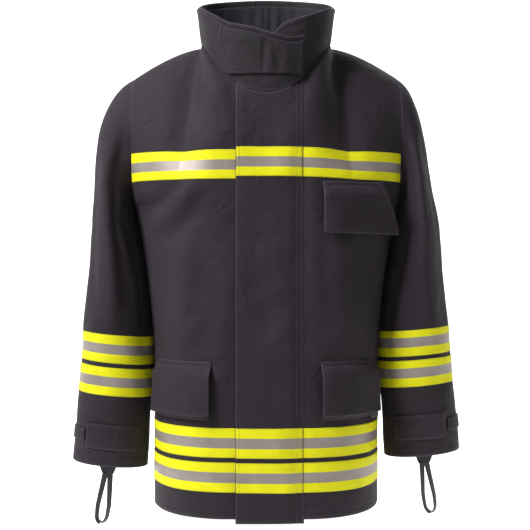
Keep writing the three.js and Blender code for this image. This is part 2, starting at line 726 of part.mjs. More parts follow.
const hemLowerTop = HEM_TAPE_TOP - TAPE_HEIGHT - HEM_TAPE_GAP;
const bodyTapes = [
  { name: "chest_tape", top: CHEST_TAPE_TOP, rows: 3 },
  { name: "hem_tape_upper", top: HEM_TAPE_TOP, rows: 1 },
  { name: "hem_tape_lower", top: hemLowerTop, rows: 1 },
];
for (const tape of bodyTapes) {
  for (const side of sides) {
    const edge = ZIP_HALF_GAP + side.sign * ZIP_X + TAPE_ZIP_MARGIN;
    const start = (edge / FRONT_FLAT_HALF_WIDTH) * FLAT_SHARE;
    const surface = side.pick(bandSurface(front, start, FRONT_BAND_END, tape.top));
    const length = sheet(FRONT_COLUMNS, tape.rows, surface, tapeLow, tapeHigh);
    place(`${tape.name}_${side.name}`, length, cloth(LIME));
  }
  const backLength = sheet(BACK_COLUMNS, tape.rows, backBand(tape.top), tapeLow, tapeHigh);
  place(`${tape.name}_back`, backLength, cloth(LIME));
  const topHere = tape.top + NECK_FRONT_DROP + (tape.name === "chest_tape" ? FLAP_TAPE_RAISE : 0);
  const strip = plate(
    FLAP_FREE_X + FLAP_TAPE_INSET,
    FLAP_HINGE_X - FLAP_TAPE_INSET,
    topHere - TAPE_HEIGHT,
    topHere,
    flapHigh + FIT_GAP,
    flapHigh + FIT_GAP + TRIM_THICKNESS,
  );
  place(`${tape.name}_flap`, strip, cloth(LIME), centreFront);
}

// The loop half of the storm flap's closure is sewn to the right front, between the tapes.
const loopBottom = HEM_TAPE_TOP + NECK_FRONT_DROP + LOOP_STRIP_TAPE_GAP;
const loopTop = CHEST_TAPE_TOP - TAPE_HEIGHT + NECK_FRONT_DROP - LOOP_STRIP_TAPE_GAP;
const loopEnd = closureEnd - LOOP_STRIP_INSET;
place(
  "storm_flap_loop_strip",
  plate(closureStart, loopEnd, loopBottom, loopTop, TRIM_GAP, TRIM_GAP + TRIM_THICKNESS),
  cloth(HOOK_BLACK),
  centreFront,
);

// ---- Pockets ----

// A patch of the front between two x values and two heights.
function frontPatch(x0, x1, bottomZ, topZ) {
  const middle = (bottomZ + topZ) / 2;
  const start = front.shareAt(x0, middle);
  const end = front.shareAt(x1, middle);
  return (u, v) => front.at(lerp(start, end, u), lerp(bottomZ, topZ, v));
}

// An open-topped bag: a block on the panel with its inside taken out.
function pouch(x0, x1, bottomZ, topZ, depth, turn) {
  const outside = sheet(6, 2, turn(frontPatch(x0, x1, bottomZ, topZ)), TRIM_GAP, TRIM_GAP + depth);
  const inside = sheet(
    6,
    2,
    turn(frontPatch(x0 + POUCH_WALL, x1 - POUCH_WALL, bottomZ + POUCH_WALL, topZ + POUCH_CUT_CLEARANCE)),
    TRIM_GAP + POUCH_WALL,
    TRIM_GAP + depth - POUCH_WALL,
  );
  return geometryOf(solidOf(outside).subtract(solidOf(inside)));
}

const lowerFlapLow = TRIM_GAP + POUCH_DEPTH + TRIM_GAP;
for (const side of sides) {
  place(
    `lower_pocket_pouch_${side.name}`,
    pouch(
      POCKET_INNER_X,
      LOWER_POUCH_OUTER_X,
      LOWER_POUCH_TOP - LOWER_POUCH_HEIGHT,
      LOWER_POUCH_TOP,
      POUCH_DEPTH,
      side.pick,
    ),
    cloth(NAVY),
  );
  const surface = side.pick(
    frontPatch(
      POCKET_INNER_X - LOWER_FLAP_OVERLAP,
      LOWER_POUCH_OUTER_X + LOWER_FLAP_OUTER_OVERLAP,
      LOWER_FLAP_TOP - LOWER_FLAP_HEIGHT,
      LOWER_FLAP_TOP,
    ),
  );
  place(
    `lower_pocket_flap_${side.name}`,
    sheet(6, 1, surface, lowerFlapLow, lowerFlapLow + POCKET_FLAP_THICKNESS),
    cloth(NAVY),
  );
}

// A small pull tab hangs below the edge of the left lower flap.
const tabTop = LOWER_FLAP_TOP - LOWER_FLAP_HEIGHT - FIT_GAP;
const tabStart = PULL_TAB_X - PULL_TAB_WIDTH / 2;
place(
  "pocket_pull_tab_left",
  sheet(
    1,
    1,
    frontPatch(tabStart, tabStart + PULL_TAB_WIDTH, tabTop - PULL_TAB_DROP, tabTop),
    lowerFlapLow,
    lowerFlapLow + PULL_TAB_THICKNESS,
  ),
  cloth(HOOK_BLACK),
);

place(
  "chest_pocket_pouch",
  pouch(
    POCKET_INNER_X + CHEST_FLAP_OVERLAP,
    CHEST_POUCH_OUTER_X,
    CHEST_POUCH_TOP - CHEST_POUCH_HEIGHT,
    CHEST_POUCH_TOP,
    CHEST_POUCH_DEPTH,
    (surface) => surface,
  ),
  cloth(NAVY),
);
const chestFlapLow = TRIM_GAP + CHEST_POUCH_DEPTH + 2 * TRIM_GAP;
place(
  "chest_pocket_flap",
  sheet(
    7,
    2,
    frontPatch(
      POCKET_INNER_X,
      CHEST_POUCH_OUTER_X + CHEST_FLAP_OVERLAP,
      CHEST_FLAP_TOP - CHEST_FLAP_HEIGHT,
      CHEST_FLAP_TOP,
    ),
    chestFlapLow,
    chestFlapLow + POCKET_FLAP_THICKNESS,
  ),
  cloth(NAVY),
);

// ---- Sleeves ----

const SLEEVE_START_X = SHOULDER_HALF_WIDTH + SEAM_GAP;

// around runs 0 at the top of the shoulder, 0.25 at the front, 0.5 under the arm, 0.75 at the back.
function armholePoint(around) {
  const spot = around <= 0.5 ? front.upper(1, 1 - 2 * around) : back.upper(1, 2 * around - 1);
  return vec(SLEEVE_START_X, spot.y, spot.z);
}

function sleeveInner(z) {
  return halfWidth(z) + SLEEVE_BODY_CLEARANCE + Math.max(CUFF_SPLAY_START_Z - z, 0) * CUFF_SPLAY;
}

function sleeveOuter(z) {
  return SLEEVE_OUTER_TOP + (SLEEVE_RING_Z - z) * SLEEVE_FLARE;
}

// hitch is how far that sleeve has ridden up at its cuff.
function sleeveRing(around, z, hitch) {
  const middle = (sleeveInner(z) + sleeveOuter(z)) / 2;
  const half = (sleeveOuter(z) - sleeveInner(z)) / 2;
  const down = (SLEEVE_RING_Z - z) / (SLEEVE_RING_Z - CUFF_Z);
  const depth = lerp(SLEEVE_HALF_DEPTH_TOP, SLEEVE_HALF_DEPTH_CUFF, down);
  const angle = around * 2 * Math.PI;
  const across = half * Math.cos(angle);
  const raised = z + hitch * smooth(HITCH_START_Z - z, 0, HITCH_START_Z - HITCH_FULL_Z);
  return vec(middle + across, -depth * Math.sin(angle), raised + across * SLEEVE_FLARE);
}

function sleeveCap(around, along, cap) {
  const start = armholePoint(around);
  const end = sleeveRing(around, SLEEVE_RING_Z, 0);
  const share = (1 + Math.cos(around * 2 * Math.PI)) / 2;
  const out = lerp(CAP_UNDER_OUT, cap.out, share);
  const leaving = vec(out, 0, -lerp(CAP_UNDER_DROP, cap.drop, share)).add(start);
  const lean = lerp(CAP_UNDER_LEAN, cap.lean, share);
  const reaching = vec(lean, 0, lerp(CAP_UNDER_RISE, cap.rise, share)).add(end);
  return new THREE.CubicBezierCurve3(start, leaving, reaching, end).getPoint(along);
}

// v runs from the cuff, or from bottomZ, up to the armhole.
function sleeveSurface(bottomZ, capEnd, side) {
  const split = (SLEEVE_ROWS - CAP_ROW) / SLEEVE_ROWS;
  return (around, v) => {
    if (v <= split) {
      return sleeveRing(around, lerp(bottomZ, SLEEVE_RING_Z, v / split), side.hitch);
    }
    return sleeveCap(around, 1 - (capEnd * (v - split)) / (1 - split), side.cap);
  };
}

// A surface right round one sleeve, facing outwards on either side of the coat.
function facing(side, surface) {
  return side.sign > 0 ? (u, v) => surface(1 - u, v) : (u, v) => surface(u, v).multiply(vec(-1, 1, 1));
}

// Part of the sleeve's girth, running from one place around to another.
function sleevePart(surface, from, to) {
  return (u, v) => surface((lerp(to, from, u) + 1) % 1, v);
}

for (const side of sides) {
  const shell = sleeveSurface(CUFF_Z, 1, side);
  const topEnd = CUFF_SEAM_SHARE - SLEEVE_SEAM_GAP_SHARE;
  const topPart = side.pick(sleevePart(shell, -topEnd, topEnd));
  place(`sleeve_top_${side.name}`, sheet(16, SLEEVE_ROWS, topPart, -SHELL_THICKNESS, 0), cloth(NAVY));
  const underStart = CUFF_SEAM_SHARE + SLEEVE_SEAM_GAP_SHARE;
  const underPart = side.pick(sleevePart(shell, underStart, 1 - underStart));
  place(`sleeve_under_${side.name}`, sheet(4, SLEEVE_ROWS, underPart, -SHELL_THICKNESS, 0), cloth(NAVY));

  const liner = sleeveSurface(CUFF_Z + SLEEVE_LINER_SETBACK, SLEEVE_LINER_CAP_END, side);
  const tube = ringSheet(16, SLEEVE_ROWS, facing(side, liner), LINER_LOW, LINER_HIGH);
  place(`sleeve_liner_${side.name}`, tube, cloth(LINING_GREY));

  const lowerTop = SLEEVE_TAPE_TOP - TAPE_HEIGHT - SLEEVE_TAPE_GAP;
  const bands = [
    { name: "upper", top: SLEEVE_TAPE_TOP },
    { name: "lower", top: lowerTop },
  ];
  for (const band of bands) {
    const ring = (u, v) => sleeveRing(u, lerp(band.top - TAPE_HEIGHT, band.top, v), side.hitch);
    const hoop = ringSheet(20, 1, facing(side, ring), tapeLow, tapeHigh);
    place(`sleeve_tape_${band.name}_${side.name}`, hoop, cloth(LIME));
  }

  // The cuff tab closes over the front of the cuff; its strap is sewn round the outer edge.
  const tabHeights = (v) => lerp(CUFF_TAB_TOP - CUFF_TAB_HEIGHT, CUFF_TAB_TOP, v);
  const tabShare = (u) => lerp(CUFF_TAB_INNER_SHARE, CUFF_TAB_OUTER_SHARE, u);
  const tab = (u, v) => sleeveRing(tabShare(u), tabHeights(v), side.hitch);
  const tabHigh = TRIM_GAP + CUFF_TAB_THICKNESS;
  place(`cuff_tab_${side.name}`, sheet(6, 1, side.pick(tab), TRIM_GAP, tabHigh), cloth(NAVY));
  const strapTop = CUFF_TAB_TOP - (CUFF_TAB_HEIGHT - CUFF_STRAP_HEIGHT) / 2;
  const strapHeights = (v) => strapTop - CUFF_STRAP_HEIGHT * (1 - v);
  const strapStart = CUFF_TAB_OUTER_SHARE - CUFF_STRAP_GAP_SHARE;
  const strapShare = (u) => (lerp(strapStart, -CUFF_STRAP_BACK_SHARE, u) + 1) % 1;
  const strap = (u, v) => sleeveRing(strapShare(u), strapHeights(v), side.hitch);
  place(`cuff_strap_${side.name}`, sheet(8, 1, side.pick(strap), TRIM_GAP, tabHigh), cloth(NAVY));

  // The knitted wristlet is a tube inside the cuff.
  const wrist = (u, v) => sleeveRing(u, lerp(CUFF_Z + WRISTLET_SETBACK, WRISTLET_TOP, v), side.hitch);
  const wristTurned = facing(side, wrist);
  const wristHigh = LINER_LOW - WRISTLET_INSET;
  place(
    `wristlet_${side.name}`,
    ringSheet(16, 1, wristTurned, wristHigh - WRISTLET_THICKNESS, wristHigh),
    cloth(KNIT),
  );

  // A gusset hangs from the wristlet and carries the thumb loop.
  const wristFront = sleeveRing(0.25, CUFF_Z, 0);
  const gussetX = side.sign * wristFront.x;
  const gussetY = wristFront.y - wristHigh + WRISTLET_THICKNESS + GUSSET_SETBACK;
  const gussetShape = new THREE.Shape();
  gussetShape.moveTo(-GUSSET_WIDTH / 2, GUSSET_TOP);
  gussetShape.lineTo(-GUSSET_TIP_WIDTH / 2, GUSSET_TIP);
  gussetShape.lineTo(GUSSET_TIP_WIDTH / 2, GUSSET_TIP);
  gussetShape.lineTo(GUSSET_WIDTH / 2, GUSSET_TOP);
  gussetShape.closePath();
  const gusset = new THREE.ExtrudeGeometry(gussetShape, { depth: GUSSET_THICKNESS, bevelEnabled: false });
  gusset.rotateX(Math.PI / 2);
  gusset.translate(gussetX, gussetY + GUSSET_THICKNESS, side.hitch);
  place(`thumb_gusset_${side.name}`, gusset, cloth(KNIT));

  // The thumb loop is one closed strap, narrow at its top and leaning outwards.
  const loopShape = loopOutline(0);
  loopShape.holes.push(new THREE.Path(loopOutline(LOOP_STRAP).getPoints(LOOP_STEPS)));
  const loop = new THREE.ExtrudeGeometry(loopShape, {
    depth: LOOP_STRAP_WIDTH,
    bevelEnabled: false,
    curveSegments: LOOP_STEPS,
  });
  loop.rotateX(Math.PI / 2);
  loop.rotateY(-side.sign * LOOP_LEAN);
  const loopY = gussetY + GUSSET_THICKNESS / 2 + LOOP_STRAP_WIDTH / 2;
  loop.translate(gussetX, loopY, GUSSET_TIP - LOOP_DROP + side.hitch);
  place(`thumb_loop_${side.name}`, loop, cloth(HOOK_BLACK));
}

// A drop-shaped outline hanging from the origin, smaller by inset all round.
function loopOutline(inset) {
  const shape = new THREE.Shape();
  const half = LOOP_GAP / 2 + LOOP_STRAP - inset;
  const top = -inset;
  const bottom = -LOOP_LENGTH + inset;
  const neck = half * LOOP_NECK_SHARE;
  const swell = top - LOOP_LENGTH * LOOP_SWELL_START;
  shape.moveTo(-neck, top);
  shape.bezierCurveTo(-half, swell, -half * LOOP_BELLY, bottom, 0, bottom);
  shape.bezierCurveTo(half * LOOP_BELLY, bottom, half, swell, neck, top);
  shape.closePath();
  return shape;
}

export default coat;
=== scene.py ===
import math

import bpy
import numpy as np
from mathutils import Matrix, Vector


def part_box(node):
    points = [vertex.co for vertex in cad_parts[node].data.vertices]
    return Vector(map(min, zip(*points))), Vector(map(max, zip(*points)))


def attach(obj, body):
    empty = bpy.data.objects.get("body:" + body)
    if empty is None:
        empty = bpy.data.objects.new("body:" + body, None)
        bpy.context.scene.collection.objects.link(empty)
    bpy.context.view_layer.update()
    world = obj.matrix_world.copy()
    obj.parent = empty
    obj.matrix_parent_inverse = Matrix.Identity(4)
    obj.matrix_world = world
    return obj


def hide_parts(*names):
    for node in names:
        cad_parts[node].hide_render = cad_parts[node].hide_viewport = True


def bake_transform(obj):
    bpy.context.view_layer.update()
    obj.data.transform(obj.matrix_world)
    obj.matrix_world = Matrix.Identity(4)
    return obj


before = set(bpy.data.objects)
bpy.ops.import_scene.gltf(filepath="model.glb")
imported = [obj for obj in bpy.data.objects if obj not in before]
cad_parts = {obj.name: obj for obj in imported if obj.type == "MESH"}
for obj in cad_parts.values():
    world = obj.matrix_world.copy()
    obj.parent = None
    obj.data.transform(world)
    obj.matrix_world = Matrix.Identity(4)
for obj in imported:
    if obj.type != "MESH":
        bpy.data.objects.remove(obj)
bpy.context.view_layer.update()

# ---- Studio: a level camera at the coat's middle, a pale seamless floor and one large soft light ----
# The coat hangs clear of the floor by its loop, so the floor passes just under the thumb loops.
# The key light stands high on the wearer's right, with a weak fill from the other side.
CAMERA_PLACE = (-0.0018, -2.0, -0.396)
CAMERA_LENS = 74.15
CAMERA_SENSOR = 36.0
FLOOR_Z = -0.872
SWEEP_Y = 2.2
SWEEP_RADIUS = 1.0
SWEEP_HEIGHT = 3.4
SWEEP_HALF_WIDTH = 6.0
SWEEP_FRONT_Y = -5.0


def linear(hex_colour):
    """A colour given as sRGB hex, as the four linear values a shader wants."""
    values = [int(hex_colour[i : i + 2], 16) / 255 for i in (1, 3, 5)]
    return tuple(v / 12.92 if v <= 0.04045 else ((v + 0.055) / 1.055) ** 2.4 for v in values) + (1.0,)


def plug(tree, node, inputs):
    """Links each input that is given as a socket, and sets any other value."""
    for socket, value in inputs.items():
        if isinstance(value, bpy.types.NodeSocket):
            tree.links.new(value, node.inputs[socket])
        else:
            node.inputs[socket].default_value = value


def add_node(tree, kind, inputs=None, **settings):
    node = tree.nodes.new(kind)
    for key, value in settings.items():
        setattr(node, key, value)
    plug(tree, node, inputs or {})
    return node


def ranged(tree, value, low, high, start=0.0, end=1.0):
    """A value that runs from start to end, made to run from low to high."""
    inputs = {"Value": value, "From Min": start, "From Max": end, "To Min": low, "To Max": high}
    return add_node(tree, "ShaderNodeMapRange", inputs).outputs["Result"]


def new_material(name):
    """A material with its node tree, its shader and the sockets that tell where a spot is."""
    material = bpy.data.materials.new(name)
    material.use_nodes = True
    tree = material.node_tree
    tree.nodes.clear()
    shader = add_node(tree, "ShaderNodeBsdfPrincipled")
    add_node(tree, "ShaderNodeOutputMaterial", {"Surface": shader.outputs["BSDF"]})
    return material, tree, shader, add_node(tree, "ShaderNodeTexCoord").outputs


def new_object(name, data):
    made = bpy.data.objects.new(name, data)
    bpy.context.scene.collection.objects.link(made)
    return made


def mesh_object(name, points, faces, material):
    """A new object from points in metres, with smooth faces."""
    mesh = bpy.data.meshes.new(name)
    mesh.from_pydata([tuple(p) for p in points], [], faces)
    mesh.polygons.foreach_set("use_smooth", [True] * len(mesh.polygons))
    mesh.materials.append(material)
    return new_object(name, mesh)


camera = new_object("camera", bpy.data.cameras.new("camera"))
camera.location = CAMERA_PLACE
camera.rotation_euler = (math.pi / 2, 0, 0)
camera.data.lens = CAMERA_LENS
camera.data.sensor_width = CAMERA_SENSOR
camera.data.clip_end = 50
bpy.context.scene.camera = camera
bpy.context.scene.view_settings.view_transform = "Standard"

# The sweep glows behind the coat and hardly at all before it, so the coat is not lit from below.
paper, tree, shader, where = new_material("matt_white_paper")
axes = add_node(tree, "ShaderNodeSeparateXYZ", {"Vector": where["Object"]}).outputs
plug(tree, shader, {
    "Base Color": linear("#f4f4f3"), "Roughness": 0.9, "Emission Color": (1, 1, 1, 1),
    "Emission Strength": ranged(tree, axes["Y"], 0.05, 0.95, -0.4, -0.08),
})
sweep_profile = [(SWEEP_FRONT_Y, FLOOR_Z)]
for step in range(13):
    turn = step / 12 * math.pi / 2
    sweep_profile.append(
        (SWEEP_Y + SWEEP_RADIUS * math.sin(turn), FLOOR_Z + SWEEP_RADIUS * (1 - math.cos(turn)))
    )
sweep_profile.append((SWEEP_Y + SWEEP_RADIUS, SWEEP_HEIGHT))
sweep_points = [(x, y, z) for y, z in sweep_profile for x in (-SWEEP_HALF_WIDTH, SWEEP_HALF_WIDTH)]
sweep_faces = [(2 * i, 2 * i + 1, 2 * i + 3, 2 * i + 2) for i in range(len(sweep_profile) - 1)]
mesh_object("floor_sweep", sweep_points, sweep_faces, paper)


def area_light(name, place, target, size, power, spread=180.0):
    light = new_object(name, bpy.data.lights.new(name, "AREA"))
    light.data.size = size
    light.data.energy = power
    light.data.spread = math.radians(spread)
    light.location = place
    aim = [t - p for t, p in zip(target, place)]
    light.rotation_euler = (math.atan2(math.hypot(aim[0], aim[1]), -aim[2]), 0, math.atan2(-aim[0], aim[1]))


area_light("key_light", (-1.9, -1.3, 1.75), (-0.04, -0.1, 0.02), 1.2, 16.5, 56.0)
area_light("fill_light", (2.4, -2.6, 0.6), (0, 0, -0.2), 2.2, 2)
area_light("back_light", (0.8, 2.0, 1.9), (0, 0, -0.3), 1.6, 22)
world = bpy.data.worlds.new("studio_air")
world.use_nodes = True
plug(world.node_tree, world.node_tree.nodes["Background"], {"Color": (1, 1, 1, 1), "Strength": 0.22})
bpy.context.scene.world = world

# ---- Outer shell: two fronts and a back of woven aramid twill ----
# Stiff dark navy cloth, cut in two fronts and one back, and sewn at the shoulders and sides.
# It hangs in a few long soft folds; the hem is turned up and stitched.
MM = 0.001
ARMHOLE_Z = -290.0
HEM_Z = -824.0
NECK_WIDE = 117.0
NECK_POWER = 2.6
NECK_FRONT_Y, NECK_FRONT_Z = -132.0, -101.0
NECK_BACK_Y, NECK_BACK_Z = 95.0, 12.0
CHEST_BACK_Y = 140.0
HEM_HALF_WIDTH = 204.0
UNDERARM_FLARE = 310.0
FRONT_FLAT, BACK_FLAT = 70.0, 45.0
BACK_TOP_LEAN = 0.1
SHOULDER_WIDE = 240.0
SHOULDER_DROP = 56.0
SHOULDER_CURVE = 1.5
NECK_SHARE = 0.52
FLAT_SHARE = 0.3
FRONT_LEAN = 28.0 / 723.0
BACK_LEAN = 10.0 / 534.0
SIDE_Y = 10.0
SHELL_THICK = 2.6
ZIP_X = 4.0
ZIP_GAP = 14.0
SIDES = (("left", 1), ("right", -1))
# How far apart the spots are that give a surface's slope, and where the sleeves lie along the body.
STEP = 0.004
TOUCH_END = (-650.0, -570.0)


def smooth(value, low, high):
    t = np.clip((value - low) / (high - low), 0.0, 1.0)
    return t * t * (3.0 - 2.0 * t)


def unit(vectors):
    return vectors / np.maximum(np.linalg.norm(vectors, axis=-1, keepdims=True), 1e-9)


def stack(x, y, z):
    return np.stack(np.broadcast_arrays(np.asarray(x, float), np.asarray(y, float), np.asarray(z, float)), -1)


def half_width(z):
    rise = np.clip((z - ARMHOLE_Z) / UNDERARM_FLARE + 1.0, 0.0, 1.0)
    return HEM_HALF_WIDTH + (SHOULDER_WIDE - HEM_HALF_WIDTH) * rise**2


def level_spot(front, share, z):
    """The body's outline at one height, on the wearer's left half: share 0 is the centre, 1 the side."""
    flat = FRONT_FLAT if front else BACK_FLAT
    at_front = NECK_FRONT_Y - (NECK_FRONT_Z - z) * FRONT_LEAN
    deep = at_front if front else CHEST_BACK_Y + (ARMHOLE_Z - z) * BACK_LEAN
    angle = np.clip((share - FLAT_SHARE) / (1.0 - FLAT_SHARE), 0.0, 1.0) * math.pi / 2
    curved = flat + (half_width(z) - flat) * np.sin(angle)
    x = np.where(share <= FLAT_SHARE, flat * share / FLAT_SHARE, curved)
    return stack(x, SIDE_Y + (deep - SIDE_Y) * np.cos(angle), z)


def top_spot(front, share):
    """The neck seam and then the shoulder line."""
    angle = np.clip(share / NECK_SHARE, 0.0, 1.0) * math.pi / 2
    deep, peak = (NECK_FRONT_Y, NECK_FRONT_Z) if front else (NECK_BACK_Y, NECK_BACK_Z)
    reach = np.maximum(1.0 - np.sin(angle) ** NECK_POWER, 0.0) ** (1.0 / NECK_POWER)
    along = np.clip((share - NECK_SHARE) / (1.0 - NECK_SHARE), 0.0, 1.0)
    x = NECK_WIDE * np.sin(angle) + (SHOULDER_WIDE - NECK_WIDE) * along
    return stack(x, deep * reach, peak * np.cos(angle) ** 2 - SHOULDER_DROP * along**SHOULDER_CURVE)


def mix(a, b, t):
    return a + (b - a) * t


def bezier(a, b, c, d, t):
    s = 1.0 - t
    return a * s**3 + 3 * b * s * s * t + 3 * c * s * t * t + d * t**3


def body_base(front, share, t):
    """t runs 0 to 1 from the hem to the armhole's foot, and 1 to 2 on to the shoulder or neck."""
    share, t = np.broadcast_arrays(np.asarray(share, float), np.asarray(t, float))
    low = level_spot(front, share, HEM_Z + (ARMHOLE_Z - HEM_Z) * np.minimum(t, 1.0))
    sign = -1.0 if front else 1.0
    lean = FRONT_LEAN if front else BACK_TOP_LEAN
    edge = smooth(share, 0.35, 1.15) / smooth(1.0, 0.35, 1.15)
    cap = smooth(share, 0.0, NECK_SHARE)
    start = level_spot(front, share, np.full(share.shape, ARMHOLE_Z))
    end = top_spot(front, share)
    first = stack(0, mix(-sign * lean * 75.0, sign * 92.0, edge), mix(75.0, 12.0, edge))
    last_y = sign * (lean * 70.0 if front else 34.0)
    last = stack(0, mix(last_y, sign * 92.0, cap), mix(-70.0 if front else -80.0, -20.0, cap))
    rise = np.clip(t - 1.0, 0.0, 1.0)[..., None]
    high = bezier(start, start + first, end + last, end, rise)
    return np.where((t <= 1.0)[..., None], low, high)


# Folds as the cloth hangs, each from one spot to another in x and z, with its width and height.
FRONT_FOLDS = (
    (-122, -258, -190, -330, 17, 5.5), (-150, -262, -206, -300, 12, -3.0), (-112, -300, -160, -352, 15, -2.6),
    (-140, -345, -152, -520, 18, 3.4), (-98, -380, -112, -560, 24, -3.4), (-60, -430, -88, -600, 18, 2.4),
    (-172, -380, -184, -560, 13, -2.4), (-64, -150, -150, -92, 24, -1.8), (-78, -188, -175, -150, 20, 2.6),
    (-62, -128, -118, -66, 17, 1.4), (-105, -470, -150, -540, 14, 2.4), (-66, -545, -130, -610, 15, -2.0),
    (-122, -40, -138, -205, 32, -10.0), (122, -40, 136, -205, 32, -10.0),
    (-20, -330, 10, -520, 26, -3.0), (-30, -470, 45, -430, 14, 1.8), (-36, -560, 30, -660, 18, -1.8),
    (-10, -560, 40, -500, 12, 1.6), (76, -262, 82, -420, 13, 2.0), (96, -300, 108, -470, 18, -1.8),
    (84, -446, 142, -396, 13, 2.6), (120, -372, 178, -352, 16, 2.0), (196, -330, 204, -420, 12, 4.0),
    (172, -350, 186, -520, 15, -2.8), (150, -470, 96, -560, 17, 2.4), (128, -520, 90, -590, 13, -2.2),
    (66, -120, 150, -90, 20, 1.2), (130, -104, 182, -178, 24, 1.8), (88, -96, 128, -176, 24, -1.4),
    (160, -120, 214, -170, 15, -1.4), (-196, -640, -150, -790, 22, 2.2), (186, -650, 150, -800, 20, 2.2),
    (-90, -690, -100, -824, 24, -2.0), (104, -700, 98, -824, 24, -2.0), (20, -690, 14, -830, 24, 1.6),
)
BACK_FOLDS = (
    (-150, -120, -172, -330, 20, -3.5), (150, -110, 176, -320, 20, -3.5), (-60, -60, -150, -150, 20, 2.5),
    (66, -70, 152, -140, 20, 2.5), (-110, -300, -124, -640, 26, 3.5), (118, -330, 108, -660, 26, 3.5),
    (-40, -260, -58, -620, 24, -3.0), (44, -300, 52, -700, 24, -3.0), (-176, -360, -170, -640, 18, -3.0),
    (178, -340, 172, -620, 18, 2.6), (0, -140, 6, -360, 28, 2.4), (-150, -660, -120, -824, 24, 2.4),
    (146, -680, 130, -824, 24, 2.4), (4, -560, 0, -824, 30, 2.6), (-70, -700, -66, -824, 20, -2.4),
)


def fold_height(spots, folds):
    """How far the cloth stands out at each spot, in mm, for folds lying in x and z."""
    total = np.zeros(spots.shape[:-1])
    for x0, z0, x1, z1, wide, tall in folds:
        run = np.array([x1 - x0, z1 - z0], float)
        length = np.linalg.norm(run)
        off_x, off_z = spots[..., 0] - x0, spots[..., 2] - z0
        along = (off_x * run[0] + off_z * run[1]) / length
        bow = 0.1 * length * np.sin(np.clip(along / length, 0, 1) * math.pi)
        across = (off_z * run[0] - off_x * run[1]) / length - bow * (0.35 if tall > 0 else -0.2)
        ends = smooth(along, -1.6 * wide, 1.2 * wide) * smooth(length - along, -1.6 * wide, 1.2 * wide)
        total += tall * np.exp(-((across / wide) ** 2)) * ends
    return total


def ripple(spots, seed):
    """Slight unevenness of stiff cloth, a millimetre or so over a hand's breadth."""
    x, y, z = spots[..., 0], spots[..., 1], spots[..., 2]
    slow = np.sin(x / 31.0 + z / 47.0 + seed) * np.sin(z / 58.0 - y / 43.0 + 1.7 * seed)
    quick = np.sin(x / 13.0 - z / 29.0 + 2.3 * seed) * np.sin(z / 17.0 + x / 37.0 + y / 21.0)
    return 0.9 * slow + 0.3 * quick


def drape(spots):
    x, y, z = spots[..., 0], spots[..., 1], spots[..., 2]
    at_front = smooth(-y, -SIDE_Y - 12.0, 38.0)
    at_back = smooth(y, SIDE_Y - 12.0, 50.0)
    height = at_front * fold_height(spots, FRONT_FOLDS) + at_back * fold_height(spots, BACK_FOLDS)
    height += ripple(spots, 0.4)
    wide = np.abs(x)
    angle = np.arcsin(np.clip(wide / NECK_WIDE, 0, 1))
    peak = np.where(y < 0, NECK_FRONT_Z, NECK_BACK_Z) * np.cos(angle) ** 2
    along = np.clip((wide - NECK_WIDE) / (SHOULDER_WIDE - NECK_WIDE), 0, 1)
    edge_z = peak - SHOULDER_DROP * along**SHOULDER_CURVE
    near_neck = smooth(edge_z - z, 4.0, 42.0)
    near_armhole = 1.0 - smooth(wide, 206.0, 238.0) * smooth(z, -345.0, -292.0)
    flank = np.exp(-(((y - SIDE_Y) / 28.0) ** 2)) * smooth(-z, 285.0, 310.0) * smooth(z, *TOUCH_END)
    return mix(height * near_neck * near_armhole, 1.4, flank)


def skin(front, side, share, t, lift=0.0):
    """A spot on the hung shell, lifted off it by some millimetres. side is 1 for the wearer's left."""
    side, share, t = np.broadcast_arrays(*(np.asarray(v, float) for v in (side, share, t)))
    near, far = np.clip(share - STEP, 0, 1), np.clip(share + STEP, 0, 1)
    under, over = np.clip(t - STEP, 0, 2), np.clip(t + STEP, 0, 2)
    across = body_base(front, far, t) - body_base(front, near, t)
    up = body_base(front, share, over) - body_base(front, share, under)
    turned = stack(side, 1.0, 1.0)
    normal = unit(np.cross(across, up)) * (1.0 if front else -1.0) * turned
    spots = body_base(front, share, t) * turned
    return spots + normal * (drape(spots) + lift)[..., None]


def solve(low, high, rounds, is_under):
    """Halves the gap between low and high, keeping the half in which the answer lies."""
    for _ in range(rounds):
        middle = (low + high) / 2
        under = is_under(middle)
        low, high = np.where(under, middle, low), np.where(under, high, middle)
    return (low + high) / 2


def height_t(front, share, z):
    """The t of a height in the column at that share."""
    share, z = np.broadcast_arrays(np.asarray(share, float), np.asarray(z, float))
    upper = solve(np.full(z.shape, 1.0), np.full(z.shape, 2.0), 18,
                  lambda t: body_base(front, share, t)[..., 2] < z)
    return np.where(z <= ARMHOLE_Z, (z - HEM_Z) / (ARMHOLE_Z - HEM_Z), upper)


def share_of(front, x, z):
    """The share whose column passes through x at that height."""
    x, z = np.broadcast_arrays(np.asarray(x, float), np.asarray(z, float))

    def is_under(share):
        return body_base(front, share, height_t(front, share, z))[..., 0] < x

    return solve(np.zeros(x.shape), np.ones(x.shape), 16, is_under)


def front_skin(x, z, lift=0.0):
    """A spot on the hung front at signed x and height z."""
    x, z, lift = np.broadcast_arrays(*(np.asarray(v, float) for v in (x, z, lift)))
    share = share_of(True, np.abs(x), z)
    return skin(True, np.where(x < 0, -1.0, 1.0), share, height_t(True, share, z), lift)


def grid_normals(grid, wrap=False):
    """Outward normals of rows of spots that run left to right as seen from outside, bottom row first."""
    if wrap:
        across = np.roll(grid, -1, 1) - np.roll(grid, 1, 1)
    else:
        across = np.gradient(grid, axis=1)
    return unit(np.cross(across, np.gradient(grid, axis=0)))


